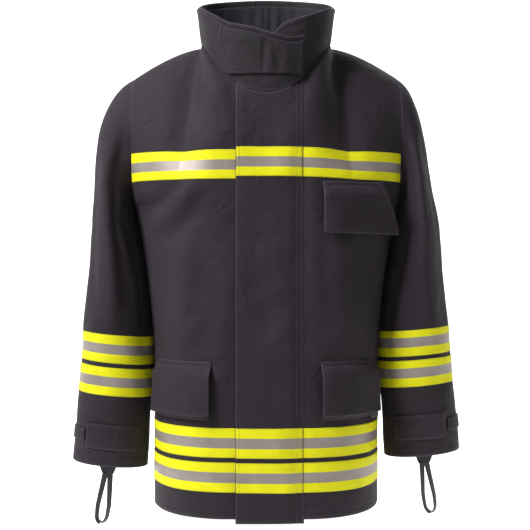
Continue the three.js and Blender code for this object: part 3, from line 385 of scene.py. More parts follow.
def along_grid(grid, wrap=False):
    """Real distances across and up the cloth, in metres, for its UV map."""
    closed = np.concatenate([grid, grid[:, :1]], 1) if wrap else grid
    across = np.linalg.norm(np.diff(closed, axis=1), axis=-1).mean(0)
    up = np.linalg.norm(np.diff(grid, axis=0), axis=-1).mean(1)
    return np.concatenate([[0], np.cumsum(across)]) * MM, np.concatenate([[0], np.cumsum(up)]) * MM


def cloth_piece(name, grid, thick, material, wrap=False, roll=0.45, inner=None):
    """A closed piece of cloth from its outer face, with its thickness and rolled edges."""

    def number(r, c):
        return r * columns + c % columns

    rows, columns = grid.shape[:2]
    inside = grid - grid_normals(grid, wrap) * thick if inner is None else inner
    u, v = along_grid(grid, wrap)
    faces, marks = [], []
    last = columns if wrap else columns - 1
    count = rows * columns
    for r in range(rows - 1):
        for c in range(last):
            corners = [(r, c), (r, c + 1), (r + 1, c + 1), (r + 1, c)]
            faces += [[number(*k) for k in corners], [number(*k) + count for k in corners[::-1]]]
            marks += [corners, corners[::-1]]
    if wrap:
        loops = [[(0, c) for c in range(columns)], [(rows - 1, -c) for c in range(columns)]]
    else:
        around = [(0, c) for c in range(columns)] + [(r, columns - 1) for r in range(1, rows)]
        around += [(rows - 1, c) for c in range(columns - 2, -1, -1)]
        around += [(r, 0) for r in range(rows - 2, 0, -1)]
        loops = [around]
    rim = []
    for loop in loops:
        first = 2 * count + len(rim)
        for r, c in loop:
            near_r = min(max(r, 1), rows - 2) if rows > 2 else r
            near_c = c if wrap else min(max(c, 1), columns - 2)
            away = grid[r, c % columns] - grid[near_r, near_c % columns]
            size = np.linalg.norm(away)
            away = away / size if size > 1e-6 else away
            rim.append((grid[r, c % columns] + inside[r, c % columns]) / 2 + away * thick * roll)
        for k, (r, c) in enumerate(loop):
            r2, c2 = loop[(k + 1) % len(loop)]
            a, b = number(r, c), number(r2, c2)
            m, n = first + k, first + (k + 1) % len(loop)
            faces += [[a, m, n, b], [m, a + count, b + count, n]]
            corner = [(r, c), (r, c), (r2, c2), (r2, c2)]
            marks += [corner, corner]
    points = np.concatenate([grid.reshape(-1, 3), inside.reshape(-1, 3), np.array(rim)]) * MM
    made = mesh_object(name, points, faces, material)
    layer = made.data.uv_layers.new(name="UVMap")
    spans = []
    for corners in marks:
        for r, c in corners:
            spans += [u[c % columns if not wrap or c < 0 else c], v[r]]
    layer.data.foreach_set("uv", spans)
    edge = np.minimum(v, v[-1] - v)[:, None] * np.ones(columns)
    if not wrap:
        edge = np.minimum(edge, np.minimum(u, u[-1] - u)[None, :])
    values = np.concatenate([edge.ravel(), edge.ravel(), np.zeros(len(rim))])
    made.data.attributes.new("edge_distance", "FLOAT", "POINT").data.foreach_set("value", values)
    return made


def cut_size(grid, wrap=False):
    """The flat width, length and area of the cloth in metres, measured along it."""
    closed = np.concatenate([grid, grid[:, :1]], 1) if wrap else grid
    across = np.linalg.norm(np.diff(closed, axis=1), axis=-1).sum(1)
    up = np.linalg.norm(np.diff(grid, axis=0), axis=-1).sum(0)
    one = closed[1:, 1:] - closed[:-1, :-1]
    other = closed[1:, :-1] - closed[:-1, 1:]
    area = np.linalg.norm(np.cross(one, other), axis=-1).sum() / 2
    flat = (round(float(across.max() * MM), 4), round(float(up.max() * MM), 4))
    return flat, float(min(area * MM * MM, flat[0] * flat[1]))


def ride_as(made, body, slot, *nodes):
    """Parents a piece to the body it rides on, or bakes it in place when given a pair of bodies, and hides
    the parts it stands for.
    """
    if isinstance(body, str):
        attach(made, body)
    else:
        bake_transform(made)
    if nodes:
        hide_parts(*nodes)
    return made


def cloth(name, grid, thick, material, body, nodes, rests_on, slot="shell_fabric", held="hung", **edges):
    made = ride_as(cloth_piece(name, grid, thick, material, **edges), body, slot, *nodes.split())
    flat, area = cut_size(grid, edges.get("wrap", False))


def noise(tree, place, scale, detail, **more):
    inputs = {"Vector": place, "Scale": scale, "Detail": detail, **more}
    return add_node(tree, "ShaderNodeTexNoise", inputs).outputs["Fac"]


def ribbed(tree, place, pitch, direction, **more):
    inputs = {"Vector": place, "Scale": math.pi / 10 / pitch, **more}
    return add_node(tree, "ShaderNodeTexWave", inputs, bands_direction=direction).outputs["Fac"]


def cells(tree, place, scale):
    return add_node(tree, "ShaderNodeTexVoronoi", {"Vector": place, "Scale": scale}).outputs["Distance"]


def maths(tree, operation, *values):
    return add_node(tree, "ShaderNodeMath", dict(enumerate(values)), operation=operation).outputs[0]


def dyed(tree, share, one, other):
    return add_node(tree, "ShaderNodeMix", {0: share, 6: one, 7: other}, data_type="RGBA").outputs[2]


def bumped(tree, height, strength, relief, **more):
    inputs = {"Height": height, "Strength": strength, "Distance": relief, **more}
    return add_node(tree, "ShaderNodeBump", inputs).outputs["Normal"]


def woven(name, colour, rubbed, pitch, relief, rough, sheen, quilt=None):
    """A matt woven cloth: diagonal ribs of the given pitch, cloudy dye and paler rubbed edges."""
    material, tree, shader, where = new_material(name)
    ribs = ribbed(tree, where["UV"], pitch, "DIAGONAL", Distortion=0.6, Detail=1.0)
    cross_ribs = ribbed(tree, where["UV"], pitch * 0.6, "X", Distortion=0.4)
    cloud = noise(tree, where["Object"], 9.0, 4.0, Roughness=0.55)
    fleck = noise(tree, where["Object"], 420.0, 2.0)
    edge = add_node(tree, "ShaderNodeAttribute", attribute_name="edge_distance").outputs["Fac"]
    rub = maths(tree, "MULTIPLY", ranged(tree, edge, 0.55, 0.0, 0.0, 0.004), fleck)
    light = tuple(min(c * 1.22, 1.0) for c in linear(colour)[:3]) + (1.0,)
    dark = tuple(c * 0.8 for c in linear(colour)[:3]) + (1.0,)
    dye = dyed(tree, ranged(tree, cloud, 0.0, 1.0, 0.3, 0.7), dark, light)
    toned = {0: dye, "Scale": ranged(tree, ribs, 0.88, 1.06)}
    toned = add_node(tree, "ShaderNodeVectorMath", toned, operation="SCALE").outputs["Vector"]
    crumple = noise(tree, where["Object"], 24.0, 3.0, Roughness=0.5, Distortion=0.9)
    creased = bumped(tree, crumple, 0.75, relief * 22.0)
    if quilt:
        normal = quilt(tree, where["UV"], creased)
    else:
        weave = maths(tree, "ADD", maths(tree, "MULTIPLY", ribs, cross_ribs), fleck)
        normal = bumped(tree, weave, 0.6, relief, Normal=creased)
    plug(tree, shader, {
        "Base Color": dyed(tree, rub, toned, linear(rubbed)), "Normal": normal, "Specular IOR Level": 0.22,
        "Roughness": ranged(tree, cloud, rough - 0.07, rough + 0.07, 0.3, 0.7),
        "Sheen Weight": sheen, "Sheen Roughness": 0.45, "Sheen Tint": linear("#b6b0bd"),
    })
    return material


# The real twill has ribs 0.6 mm apart, which is too fine to show, so they are drawn at 1.3 mm.
navy_twill = woven("aramid_twill_navy", "#2d272e", "#524b55", 0.0013, 0.00022, 0.74, 0.08)
# The collar and throat tab use the body's twill, painted darker: this darker colour is painted shade, not a
# different cloth.
collar_twill_painted_shade = woven("aramid_twill_collar_painted_shade", "#282329", "#48424c", 0.0013, 0.00022, 0.74, 0.08)


def front_start(side, inset=0.0):
    """The share at which a front's edge runs beside the zip."""
    return (ZIP_GAP + side * ZIP_X + inset) / FRONT_FLAT * FLAT_SHARE


def outward(grid, side):
    """Rows are made from the middle of the coat; seen from outside they have to run left to right."""
    return grid if side > 0 else grid[:, ::-1]


def front_grid(side, inset, end, columns, t, lift=0.0):
    shares = np.linspace(front_start(side, inset), end, columns)
    return outward(skin(True, side, shares[None, :], t[:, None], lift), side)


def back_grid(end, columns, t, lift=0.0):
    shares = np.concatenate([np.linspace(end, 0.0, columns), np.linspace(0.0, end, columns)[1:]])
    sides = np.where(np.arange(len(shares)) < columns, 1.0, -1.0)
    return skin(False, sides[None, :], shares[None, :], t[:, None], lift)


body_t = np.concatenate([np.linspace(0, 1, 98), np.linspace(1, 2, 56)[1:]])
for word, side in SIDES:
    cloth(f"shell_front_{word}", front_grid(side, 0.0, 1.0, 62, body_t), SHELL_THICK, navy_twill, "coat",
          f"front_panel_{word}", "collar")
cloth("shell_back", back_grid(1.0, 62, body_t), SHELL_THICK, navy_twill, "coat", "back_panel", "collar")

# ---- Liner: two fronts and a back, hung inside the shell ----
# A thermal layer quilted to a light facing cloth, bound together and fixed round the neck and fronts.
# It ends 30 mm above the shell's hem.
LINER_DEPTH = -5.4
LINER_THICK = 2.2
LINER_HEM_T = 30.0 / (ARMHOLE_Z - HEM_Z)


def diamonds(tree, place, creased):
    """A facing cloth sewn down in diamonds 45 mm across."""
    rows = []
    for turn in (math.pi / 4, -math.pi / 4):
        turned = add_node(tree, "ShaderNodeMapping", {"Vector": place, "Rotation": (0, 0, turn)})
        rows.append(ribbed(tree, turned.outputs["Vector"], 0.032, "X"))
    return bumped(tree, maths(tree, "POWER", maths(tree, "MULTIPLY", *rows), 0.4), 0.9, 0.003, Normal=creased)


lining_cloth = woven("quilted_lining_grey", "#35333c", "#77767e", 0.0011, 0.0001, 0.6, 0.1, diamonds)
liner_t = np.concatenate([np.linspace(LINER_HEM_T, 1, 50), np.linspace(1, 1.985, 30)[1:]])
for word, side in SIDES:
    cloth(f"lining_front_{word}", front_grid(side, 1.0, 0.99, 40, liner_t, LINER_DEPTH), LINER_THICK,
          lining_cloth, "coat", f"liner_front_{word}", f"shell_front_{word}", "liner_fabric")
cloth("lining_back", back_grid(0.99, 40, liner_t, LINER_DEPTH), LINER_THICK, lining_cloth, "coat",
      "liner_back", "shell_back", "liner_fabric")

# ---- Sleeves: a top and an under piece sewn into one tube ----
# The same twill, set into the armhole and sewn on. It hangs straight with long soft folds.
# At the armhole it is one with the body cloth.
CUFF_Z = -754.0
RING_Z = -330.0
SLEEVE_FLARE = 0.092
SLEEVE_SEAM = 0.41
SLEEVE_GIRTH = 410.0
SLEEVE_OUTER = 314.0
BODY_CLEARANCE = 3.0
SPLAY_Z, CUFF_SPLAY = -600.0, 0.062
RING_DEPTH, CUFF_DEPTH = 78.0, 60.0
# The wearer's left sleeve has ridden up at its cuff and its cap stands less full than the right one's.
SLEEVE_HITCH = {1: 19.0, -1: 0.0}
SLEEVE_CAP = {1: (44.0, 24.0, -22.0, 120.0), -1: (50.0, 26.0, 2.0, 200.0)}


def armhole_spot(around):
    down = around <= 0.5
    front = body_base(True, np.ones(around.shape), 1.0 + np.clip(1.0 - 2.0 * around, 0, 1))
    back = body_base(False, np.ones(around.shape), 1.0 + np.clip(2.0 * around - 1.0, 0, 1))
    return np.where(down[..., None], front, back)


def sleeve_ring(around, z, hitch):
    inner = half_width(z) + BODY_CLEARANCE + np.maximum(SPLAY_Z - z, 0.0) * CUFF_SPLAY
    outer = SLEEVE_OUTER + (RING_Z - z) * SLEEVE_FLARE
    middle, half = (inner + outer) / 2, (outer - inner) / 2
    depth = mix(RING_DEPTH, CUFF_DEPTH, (RING_Z - z) / (RING_Z - CUFF_Z))
    angle = around * 2 * math.pi
    across = half * np.cos(angle)
    raised = z + hitch * smooth(RING_Z - z, 0.0, 370.0)
    return stack(middle + across, -depth * np.sin(angle), raised + across * SLEEVE_FLARE)


def sleeve_base(around, t, side):
    """around is 0 outside, 0.25 in front, 0.5 inside. t is 0 at the cuff, 1 under the arm, 2 at the top."""
    around, t = np.broadcast_arrays(np.asarray(around, float) % 1.0, np.asarray(t, float))
    out, drop, lean, rise = SLEEVE_CAP[side]
    low = sleeve_ring(around, mix(CUFF_Z, RING_Z, np.minimum(t, 1.0)), SLEEVE_HITCH[side])
    start = armhole_spot(around)
    end = sleeve_ring(around, np.full(around.shape, RING_Z), 0.0)
    share = (1.0 + np.cos(around * 2 * math.pi)) / 2
    outward = stack(mix(5.0, out, share), 0, -mix(6.0, drop, share))
    upward = stack(mix(2.0, lean, share), 0, mix(12.0, rise, share))
    high = bezier(start, start + outward, end + upward, end, np.clip(2.0 - t, 0, 1)[..., None])
    return np.where((t <= 1.0)[..., None], low, high)


# Sleeve folds: from one place around and height to another, with width and height in mm.
SLEEVE_FOLDS = {
    -1: (
        (0.27, -150, 0.33, -470, 16, -4.6), (0.2, -210, 0.24, -500, 15, 4.0),
        (0.36, -300, 0.42, -560, 14, -4.0), (0.12, -180, 0.13, -470, 18, -2.6),
        (0.06, -300, 0.03, -520, 16, 2.4), (0.33, -330, 0.38, -520, 11, 3.4),
        (0.3, -640, 0.1, -610, 13, 2.6), (0.32, -700, 0.16, -668, 10, -2.2),
        (0.7, -250, 0.74, -520, 20, 3.4), (0.84, -200, 0.8, -500, 18, -3.2),
        (0.6, -420, 0.9, -470, 16, 2.6), (0.62, -480, 0.86, -520, 12, -2.4),
    ),
    1: (
        (0.26, -140, 0.32, -420, 15, -4.2), (0.2, -190, 0.19, -500, 13, 3.8),
        (0.35, -280, 0.4, -520, 14, -3.6), (0.12, -170, 0.1, -500, 17, -3.0),
        (0.05, -280, 0.06, -500, 16, 2.2), (0.3, -360, 0.34, -510, 12, 2.8),
        (0.3, -650, 0.12, -600, 12, -2.4), (0.34, -690, 0.14, -655, 11, 2.4),
        (0.7, -230, 0.76, -500, 20, 3.4), (0.84, -220, 0.82, -520, 18, -3.0),
        (0.62, -430, 0.88, -460, 16, 2.8), (0.6, -500, 0.86, -530, 12, -2.2),
    ),
}


def sleeve_drape(spots, around, side):
    flat = stack(((around + 0.5) % 1.0 - 0.5) * SLEEVE_GIRTH, 0, spots[..., 2])
    folds = []
    for a0, z0, a1, z1, wide, tall in SLEEVE_FOLDS[side]:
        a0, a1 = (a0 + 0.5) % 1.0 - 0.5, (a1 + 0.5) % 1.0 - 0.5
        folds.append((a0 * SLEEVE_GIRTH, z0, a1 * SLEEVE_GIRTH, z1, wide, tall))
    height = fold_height(flat, folds) + 1.2 * ripple(spots, 1.1 + side)
    near_armhole = smooth(np.abs(spots[..., 0]), 241.0, 262.0) + smooth(-spots[..., 2], 300.0, 345.0)
    near_cuff = smooth(spots[..., 2], CUFF_Z, CUFF_Z + 60.0)
    height = height * np.clip(near_armhole, 0, 1) * (0.35 + 0.65 * near_cuff)
    # Where the sleeve lies along the body the two touch, with no daylight between them.
    z = spots[..., 2]
    inside = np.exp(-(((around % 1.0 - 0.5) / 0.09) ** 2)) * smooth(-z, 266.0, 300.0) * smooth(z, *TOUCH_END)
    return mix(height, 3.4, inside)


def sleeve_skin(side, around, t, lift=0.0):
    around, t = np.broadcast_arrays(np.asarray(around, float), np.asarray(t, float))
    turned = np.array([side, 1.0, 1.0])
    across = sleeve_base(around + STEP, t, side) - sleeve_base(around - STEP, t, side)
    under, over = np.clip(t - STEP, 0, 2), np.clip(t + STEP, 0, 2)
    up = sleeve_base(around, over, side) - sleeve_base(around, under, side)
    normal = -unit(np.cross(across, up)) * turned
    spots = sleeve_base(around, t, side) * turned
    return spots + normal * (sleeve_drape(spots, around, side) + lift)[..., None]


def sleeve_t(z):
    return (z - CUFF_Z) / (RING_Z - CUFF_Z)


def tube_grid(side, t_values, columns, lift=0.0):
    """Rows round the sleeve, running left to right as seen from outside it."""
    around = np.arange(columns) / columns
    around = -around if side > 0 else around
    return sleeve_skin(side, around[None, :], t_values[:, None], lift)


def shoulder_bend(word, side):
    """The coat and the sleeve, with two spots near the armhole, given for cloth at the shoulder."""
    return ("coat", f"sleeve_{word}", (side * 0.245, 0, -0.28), (side * 0.305, 0, -0.31))


cap_t = np.concatenate([np.linspace(0, 1, 86), np.linspace(1, 2, 44)[1:]])
lining_t = np.concatenate([np.linspace(0.035, 1, 40), np.linspace(1, 1.96, 24)[1:]])
for word, side in SIDES:
    bend = shoulder_bend(word, side)
    cloth(f"shell_sleeve_{word}", tube_grid(side, cap_t, 96), SHELL_THICK, navy_twill, bend,
          f"sleeve_top_{word} sleeve_under_{word}", f"shell_front_{word}", wrap=True)
    cloth(f"lining_sleeve_{word}", tube_grid(side, lining_t, 56, LINER_DEPTH), LINER_THICK, lining_cloth,
          bend, f"sleeve_liner_{word}", f"shell_sleeve_{word}", "liner_fabric", wrap=True)

# ---- Zip: two woven tapes, two rows of brass teeth, slider and pull ----
# A heavy zip sewn to the edges of the two fronts; the storm flap covers it.
ZIP_TOP_Z = -112.0
ZIP_FOOT_Z = -808.0
TOOTH_PITCH = 0.0034


def narrow_cloth(name, colour, rubbed, figure, grain, rough, relief, sheen):
    """Webbing or knit, whose ribs have a pitch, or a pile of hooks or loops, given as a cell scale."""
    material, tree, shader, where = new_material(name)
    fuzz = noise(tree, where["Object"], *grain)
    if isinstance(figure, tuple):
        ribs = ribbed(tree, where["UV"], figure[0], "Y", Distortion=figure[1])
        height = tone = maths(tree, "MULTIPLY", ribs, fuzz)
    else:
        height, tone = maths(tree, "ADD", cells(tree, where["Object"], figure), fuzz), fuzz
    plug(tree, shader, {
        "Base Color": dyed(tree, tone, linear(colour), linear(rubbed)), "Sheen Weight": sheen,
        "Roughness": ranged(tree, fuzz, *rough), "Normal": bumped(tree, height, *relief),
    })
    return material


def webbing(name, colour, rubbed, rib):
    return narrow_cloth(name, colour, rubbed, (rib, 0.3), (600.0, 3.0), (0.55, 0.8), (0.7, 0.0004), 0.15)


polyester_tape = webbing("polyester_zip_tape", "#232127", "#3d3a43", 0.0012)

# Brass drawn, pressed and tumbled: warm metal, dulled in the hollows and brighter where it rubs.
brass, tree, shader, where = new_material("tumbled_brass")
cloud = noise(tree, where["Object"], 300.0, 4.0)
plug(tree, shader, {
    "Base Color": dyed(tree, cloud, linear("#6b5324"), linear("#c9a55a")), "Metallic": 1.0,
    "Roughness": ranged(tree, cloud, 0.5, 0.28), "Normal": bumped(tree, cloud, 0.3, 0.0002),
})


def repeat_tree(name, shape_kind, shape_inputs):
    """Sets a small shape at even steps along each line: a zip tooth, or one stitch of thread."""
    tree = bpy.data.node_groups.new(name, "GeometryNodeTree")
    kinds = {"Line": "Geometry", "Pitch": "Float", "Length": "Float", "Thickness": "Float", "Width": "Float",
             "Finish": "Material"}
    for label, kind in kinds.items():
        tree.interface.new_socket(label, in_out="INPUT", socket_type="NodeSocket" + kind)
    tree.interface.new_socket("Pieces", in_out="OUTPUT", socket_type="NodeSocketGeometry")
    given = add_node(tree, "NodeGroupInput").outputs
    line = add_node(tree, "GeometryNodeMeshToCurve", {"Mesh": given["Line"]}).outputs["Curve"]
    spacing = {"Curve": line, "Length": given["Pitch"]}
    steps = add_node(tree, "GeometryNodeResampleCurve", spacing, mode="LENGTH")
    heading = {"Vector": add_node(tree, "GeometryNodeInputTangent").outputs["Tangent"]}
    turn = add_node(tree, "FunctionNodeAlignRotationToVector", heading, axis="Z")
    measures = {"X": given["Width"], "Y": given["Thickness"], "Z": given["Length"]}
    size = add_node(tree, "ShaderNodeCombineXYZ", measures)
    shape = add_node(tree, shape_kind, shape_inputs)
    placed = add_node(tree, "GeometryNodeInstanceOnPoints", {
        "Points": steps.outputs["Curve"], "Instance": shape.outputs["Mesh"],
        "Rotation": turn.outputs["Rotation"], "Scale": size.outputs["Vector"],
    })
    real = add_node(tree, "GeometryNodeRealizeInstances", {"Geometry": placed.outputs["Instances"]})
    finished = {"Geometry": real.outputs["Geometry"], "Material": given["Finish"]}
    last = add_node(tree, "GeometryNodeSetMaterial", finished)
    add_node(tree, "NodeGroupOutput", {"Pieces": last.outputs["Geometry"]})
    return tree


def repeat_along(name, paths, tree, finish, **sizes):
    """Runs a repeat tree along lines given in mm, and keeps the result as a plain mesh."""
    points, links = [], []
    for path in paths:
        links += [(len(points) + i, len(points) + i + 1) for i in range(len(path) - 1)]
        points += [tuple(p * MM) for p in path]
    lines = bpy.data.meshes.new(name)
    lines.from_pydata(points, links, [])
    made = new_object(name, lines)
    modifier = made.modifiers.new("repeat", "NODES")
    modifier.node_group = tree
    sizes["Finish"] = finish
    for item in tree.interface.items_tree:
        if item.item_type == "SOCKET" and item.in_out == "INPUT" and item.name in sizes:
            modifier[item.identifier] = sizes[item.name]
    bpy.context.view_layer.update()
    evaluated = made.evaluated_get(bpy.context.evaluated_depsgraph_get())
    mesh = bpy.data.meshes.new_from_object(evaluated)
    made.modifiers.remove(modifier)
    made.data = mesh
    if not mesh.materials:
        mesh.materials.append(finish)
    mesh.polygons.foreach_set("use_smooth", [True] * len(mesh.polygons))
    return made


teeth_tree = repeat_tree("zip_teeth", "GeometryNodeMeshCube", {"Size": (1.0, 1.0, 1.0)})
for word, side in SIDES:
    columns = np.sort(ZIP_X + side * np.linspace(13.4, 5.0, 5))
    rows = np.linspace(ZIP_FOOT_Z, ZIP_TOP_Z, 120)
    grid = front_skin(columns[None, :], rows[:, None], -1.0)
    tape = cloth_piece(f"zip_tape_woven_{word}", grid, 1.0, polyester_tape)
    ride_as(tape, "coat", "webbing", f"zip_tape_{word}")
    line = front_skin(ZIP_X + side * 3.3, np.linspace(ZIP_FOOT_Z, ZIP_TOP_Z, 160), -1.5)
    line[:, 2] += 0.85 * side
    teeth = repeat_along(f"zip_teeth_row_{word}", [line], teeth_tree, brass,
                         Pitch=TOOTH_PITCH, Length=0.0016, Thickness=0.0028, Width=0.0034)
    ride_as(teeth, "coat", "zip_brass", f"zip_teeth_{word}")

for node in ("zip_slider", "zip_pull"):
    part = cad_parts[node]
    part.data.materials.clear()
    part.data.materials.append(brass)

# ---- Stitching: two sizes of polyester thread ----
# Lockstitch, 3 mm long, in thick bonded thread. It is a shade paler than the cloth it holds.
STITCH_PITCH = 0.0031
stitch_tree = repeat_tree("topstitch", "GeometryNodeMeshUVSphere", {"Segments": 6, "Rings": 4, "Radius": 0.5})
thread_navy = webbing("bonded_polyester_thread_navy", "#3b3642", "#575160", 0.0006)
thread_lime = webbing("bonded_polyester_thread_lime", "#a8a622", "#c8c643", 0.0006)


def sew(name, paths, body, slot="shell_fabric", finish=thread_navy, size=0.00062):
    """Rows of stitches along the lines, riding on a body, or baked in place when given a pair of bodies."""
    made = repeat_along(name, paths, stitch_tree, finish,
                        Pitch=STITCH_PITCH, Length=0.0025, Thickness=size, Width=size)
    ride_as(made, body, slot)


def line_between(a, b, step=3.0):
    return np.linspace(a, b, max(int(abs(b - a) / step) + 2, 3))


def raised_rows(grid, rows, lift):
    """Lines that lie a little above chosen rows of a piece of cloth."""
    out = grid_normals(grid)
    return [grid[k] + out[k] * lift for k in rows]


body_seams = []
for side in (1, -1):
    for front in (True, False):
        for gap in (0.02, 0.055):
            body_seams.append(skin(front, side, np.linspace(0.0, NECK_SHARE, 70), 2.0 - gap, 0.2))
        for off in (0.988, 0.965):
            body_seams.append(skin(front, side, off, np.linspace(1.0, 1.99, 90), 0.2))
        body_seams.append(skin(front, side, np.linspace(NECK_SHARE, 0.99, 50), 1.975, 0.2))
        for gap in (0.008, 0.024):
            hem_start = front_start(side) if front else 0.0
            body_seams.append(skin(front, side, np.linspace(hem_start, 1, 110), gap, 0.2))
        body_seams.append(skin(front, side, 0.992, np.linspace(0, 1, 160), 0.2))
sew("body_topstitch", body_seams, "coat")

for word, side in SIDES:
    seams = [sleeve_skin(side, s * SLEEVE_SEAM, np.linspace(0.01, 1.97, 150), 0.2) for s in (1, -1)]
    seams += [sleeve_skin(side, np.linspace(0, 1, 160), gap, 0.2) for gap in (0.02, 0.062)]
    sew(f"sleeve_topstitch_{word}", seams, shoulder_bend(word, side))

# ---- Storm flap: a double strip of twill over the zip ----
# It is sewn down at the wearer's left with two rows of stitching and closes to the right with hook and loop.
# It stands a few millimetres off the fronts to clear the slider.
FLAP_FREE_X = -51.0
FLAP_SEWN_X = 63.0
FLAP_FOOT_Z = -831.0
FLAP_THICK = 2.5


def edge_dip(distance, stitch=5.0, deep=0.55):
    """A turned and stitched edge: it thins at its rim, swells, and is pulled in along the stitches."""
    return -0.7 * np.exp(-((distance / 1.3) ** 2)) - deep * np.exp(-(((distance - stitch) / 1.1) ** 2))


def close_rows(low, high, step, margin=9.0):
    """Spacing that is fine next to both ends, where the edge is turned, and even between them."""
    ends = np.array([0.0, 1.0, 2.2, 3.6, 5.0, 6.4, margin])
    middle = np.linspace(low + margin, high - margin, max(int((high - low - 2 * margin) / step) + 1, 2))
    return np.concatenate([low + ends[:-1], middle, high - ends[:-1][::-1]])


FLAP_LIFTS = (
    (-51, 6.6), (-40, 7.4), (-14, 8.0), (22, 8.0), (40, 6.6), (50, 3.8), (57, 2.2), (60, 1.5), (63, 0.9),
)


def flap_lift(x):
    """How far the flap's outer face stands off the fronts: least where it is sewn down."""
    return np.interp(x, *zip(*FLAP_LIFTS))


def neck_seam_z(x):
    return NECK_FRONT_Z * (1.0 - (x / NECK_WIDE) ** 2)


flap_x = close_rows(FLAP_FREE_X, FLAP_SEWN_X, 4.5)
flap_v = close_rows(0.0, 726.0, 5.5) / 726.0


def flap_spot(x, z, lift=0.0):
    """A spot on the storm flap's outer face. The flap hangs almost straight, with folds of its own."""
    spots = front_skin(x, z)
    sway = 1.4 * np.sin(z / 61.0 + 0.4) * np.sin(x / 34.0 + z / 140.0) + 0.6 * np.sin(z / 23.0 - x / 27.0)
    sway = sway * smooth(FLAP_SEWN_X - x, 4.0, 40.0) * smooth(-z, 120.0, 200.0)
    out = np.array([0.0, -0.99925, 0.0387])
    return spots + out * (flap_lift(x) + 0.7 * sway + lift)[..., None]


top_z = neck_seam_z(flap_x) - 1.5
flap_z = FLAP_FOOT_Z + (top_z[None, :] - FLAP_FOOT_Z) * flap_v[:, None]
grid_x = np.broadcast_to(flap_x, flap_z.shape)
edge_run = np.minimum(np.minimum(grid_x - FLAP_FREE_X, flap_z - FLAP_FOOT_Z), 30.0)
flap_grid = flap_spot(grid_x, flap_z, edge_dip(edge_run))
flap_bend = ("coat", "storm_flap", (0.0605, -0.15, -0.35), (0.0495, -0.15, -0.35))
flap_depth = np.minimum(FLAP_THICK, flap_lift(grid_x) - 0.6)
flap_inside = flap_grid - grid_normals(flap_grid) * np.maximum(flap_depth, 0.5)[..., None]
cloth("storm_flap_cloth", flap_grid, FLAP_THICK, navy_twill, flap_bend, "storm_flap", "shell_front_left",
      inner=flap_inside)

FLAP_SEAMS_X = (52.0, 60.8, FLAP_FREE_X + 5.0)
flap_seams = []
for x in FLAP_SEAMS_X:
    z = line_between(FLAP_FOOT_Z + 3.0, neck_seam_z(x) - 4.0)
    flap_seams.append(flap_spot(x, z, 0.0 if x > 0 else -0.35))
x = line_between(FLAP_FREE_X + 5.0, FLAP_SEWN_X - 2.0)
flap_seams.append(flap_spot(x, FLAP_FOOT_Z + 5.0, -0.35))
sew("storm_flap_topstitch", flap_seams, flap_bend)

# Hook and loop strips: a woven ground under a dense pile of stiff hooks or soft loops.
PILE = ((260.0, 5.0), (0.65, 0.95), (0.8, 0.0008))
hook_pile = narrow_cloth("nylon_hook_pile", "#1f1d22", "#3a373f", 900.0, *PILE, 0.1)
loop_pile = narrow_cloth("nylon_loop_pile", "#29262d", "#46424c", 620.0, *PILE, 0.4)
strip_x = np.linspace(-45.0, -21.0, 9)
hook_grid = flap_spot(strip_x[None, :], np.linspace(-796.0, -130.0, 130)[:, None], -FLAP_THICK - 0.3)
hook_strip = cloth_piece("hook_strip_pile", hook_grid, 0.9, hook_pile)
ride_as(hook_strip, "storm_flap", "hook_and_loop", "storm_flap_hook_strip")
loop_grid = front_skin(strip_x[None, 1:-1], np.linspace(-668.0, -253.0, 90)[:, None], 1.3)
loop_strip = cloth_piece("loop_strip_pile", loop_grid, 1.1, loop_pile)
ride_as(loop_strip, "coat", "hook_and_loop", "storm_flap_loop_strip")

# ---- Collar: a padded stand-up band, bound along its top ----
# Two layers of twill over thin foam, with a bound top edge. The wearer's right end laps over the left
# at the throat, and the under end curls inwards.
COLLAR_THICK = 5.2
COLLAR_SIDE_TOP, COLLAR_BACK_TOP = 68.0, 111.0
COLLAR_SPREAD = 9.0
LAP_TOP = ((-90, 68), (-62, 54), (-45, 37), (-30, 20), (-9, 9.5), (5, -1), (15, -5.5), (21, -6.5), (25, -5),
           (28, -2.5), (31, -1))
UNDER_TOP = ((4, -8), (7, 2), (10, 11), (15, 20), (26, 28), (40, 37), (60, 53), (90, 68))


def collar_top(turn, lap):
    wide = np.abs(turn)
    even = mix(COLLAR_SIDE_TOP, COLLAR_BACK_TOP, np.abs(np.cos(np.radians(turn))) ** 0.6)
    shaped = np.interp(turn, *zip(*(LAP_TOP if lap else UNDER_TOP)))
    return np.where(wide < 90, shaped, even)


def collar_spot(turn, rise, lap, lift=0.0):
    """turn is in degrees round the neck, 0 at the throat and growing to the wearer's left; rise is 0 to 1."""
    turn, rise = np.broadcast_arrays(np.asarray(turn, float), np.asarray(rise, float))
    angle = np.radians(turn)
    forward = np.cos(angle) > 0
    sine = np.sin(angle)
    reach = np.maximum(1.0 - np.abs(sine) ** NECK_POWER, 0.0) ** (1.0 / NECK_POWER)
    seam_z = np.where(forward, NECK_FRONT_Z, NECK_BACK_Z) * np.cos(angle) ** 2 + 0.6
    spread = 1.0 + COLLAR_SPREAD * rise / NECK_WIDE
    x = NECK_WIDE * sine * spread
    y = np.where(forward, NECK_FRONT_Y, NECK_BACK_Y * spread) * reach
    z = mix(seam_z, collar_top(turn, lap), rise)
    out = unit(stack(x, y, 0))
    stand = 7.0 * smooth(turn, -75.0, 0.0) if lap else -10.0 * smooth(-turn, -34.0, -5.0) * rise
    wave = 0.9 * np.sin(turn / 9.0 + 2.0 * rise) * np.sin(rise * math.pi)
    wave = wave + 0.6 * np.sin(turn / 3.7) * rise * (1 - rise)
    return stack(x, y, z) + out * (stand + wave + lift)[..., None]


def collar_turns(count):
    """From the under end round the back to the lap's end."""
    along = np.linspace(5.0, 391.0, count)
    return np.where(along > 180.0, along - 360.0, along), along > 180.0


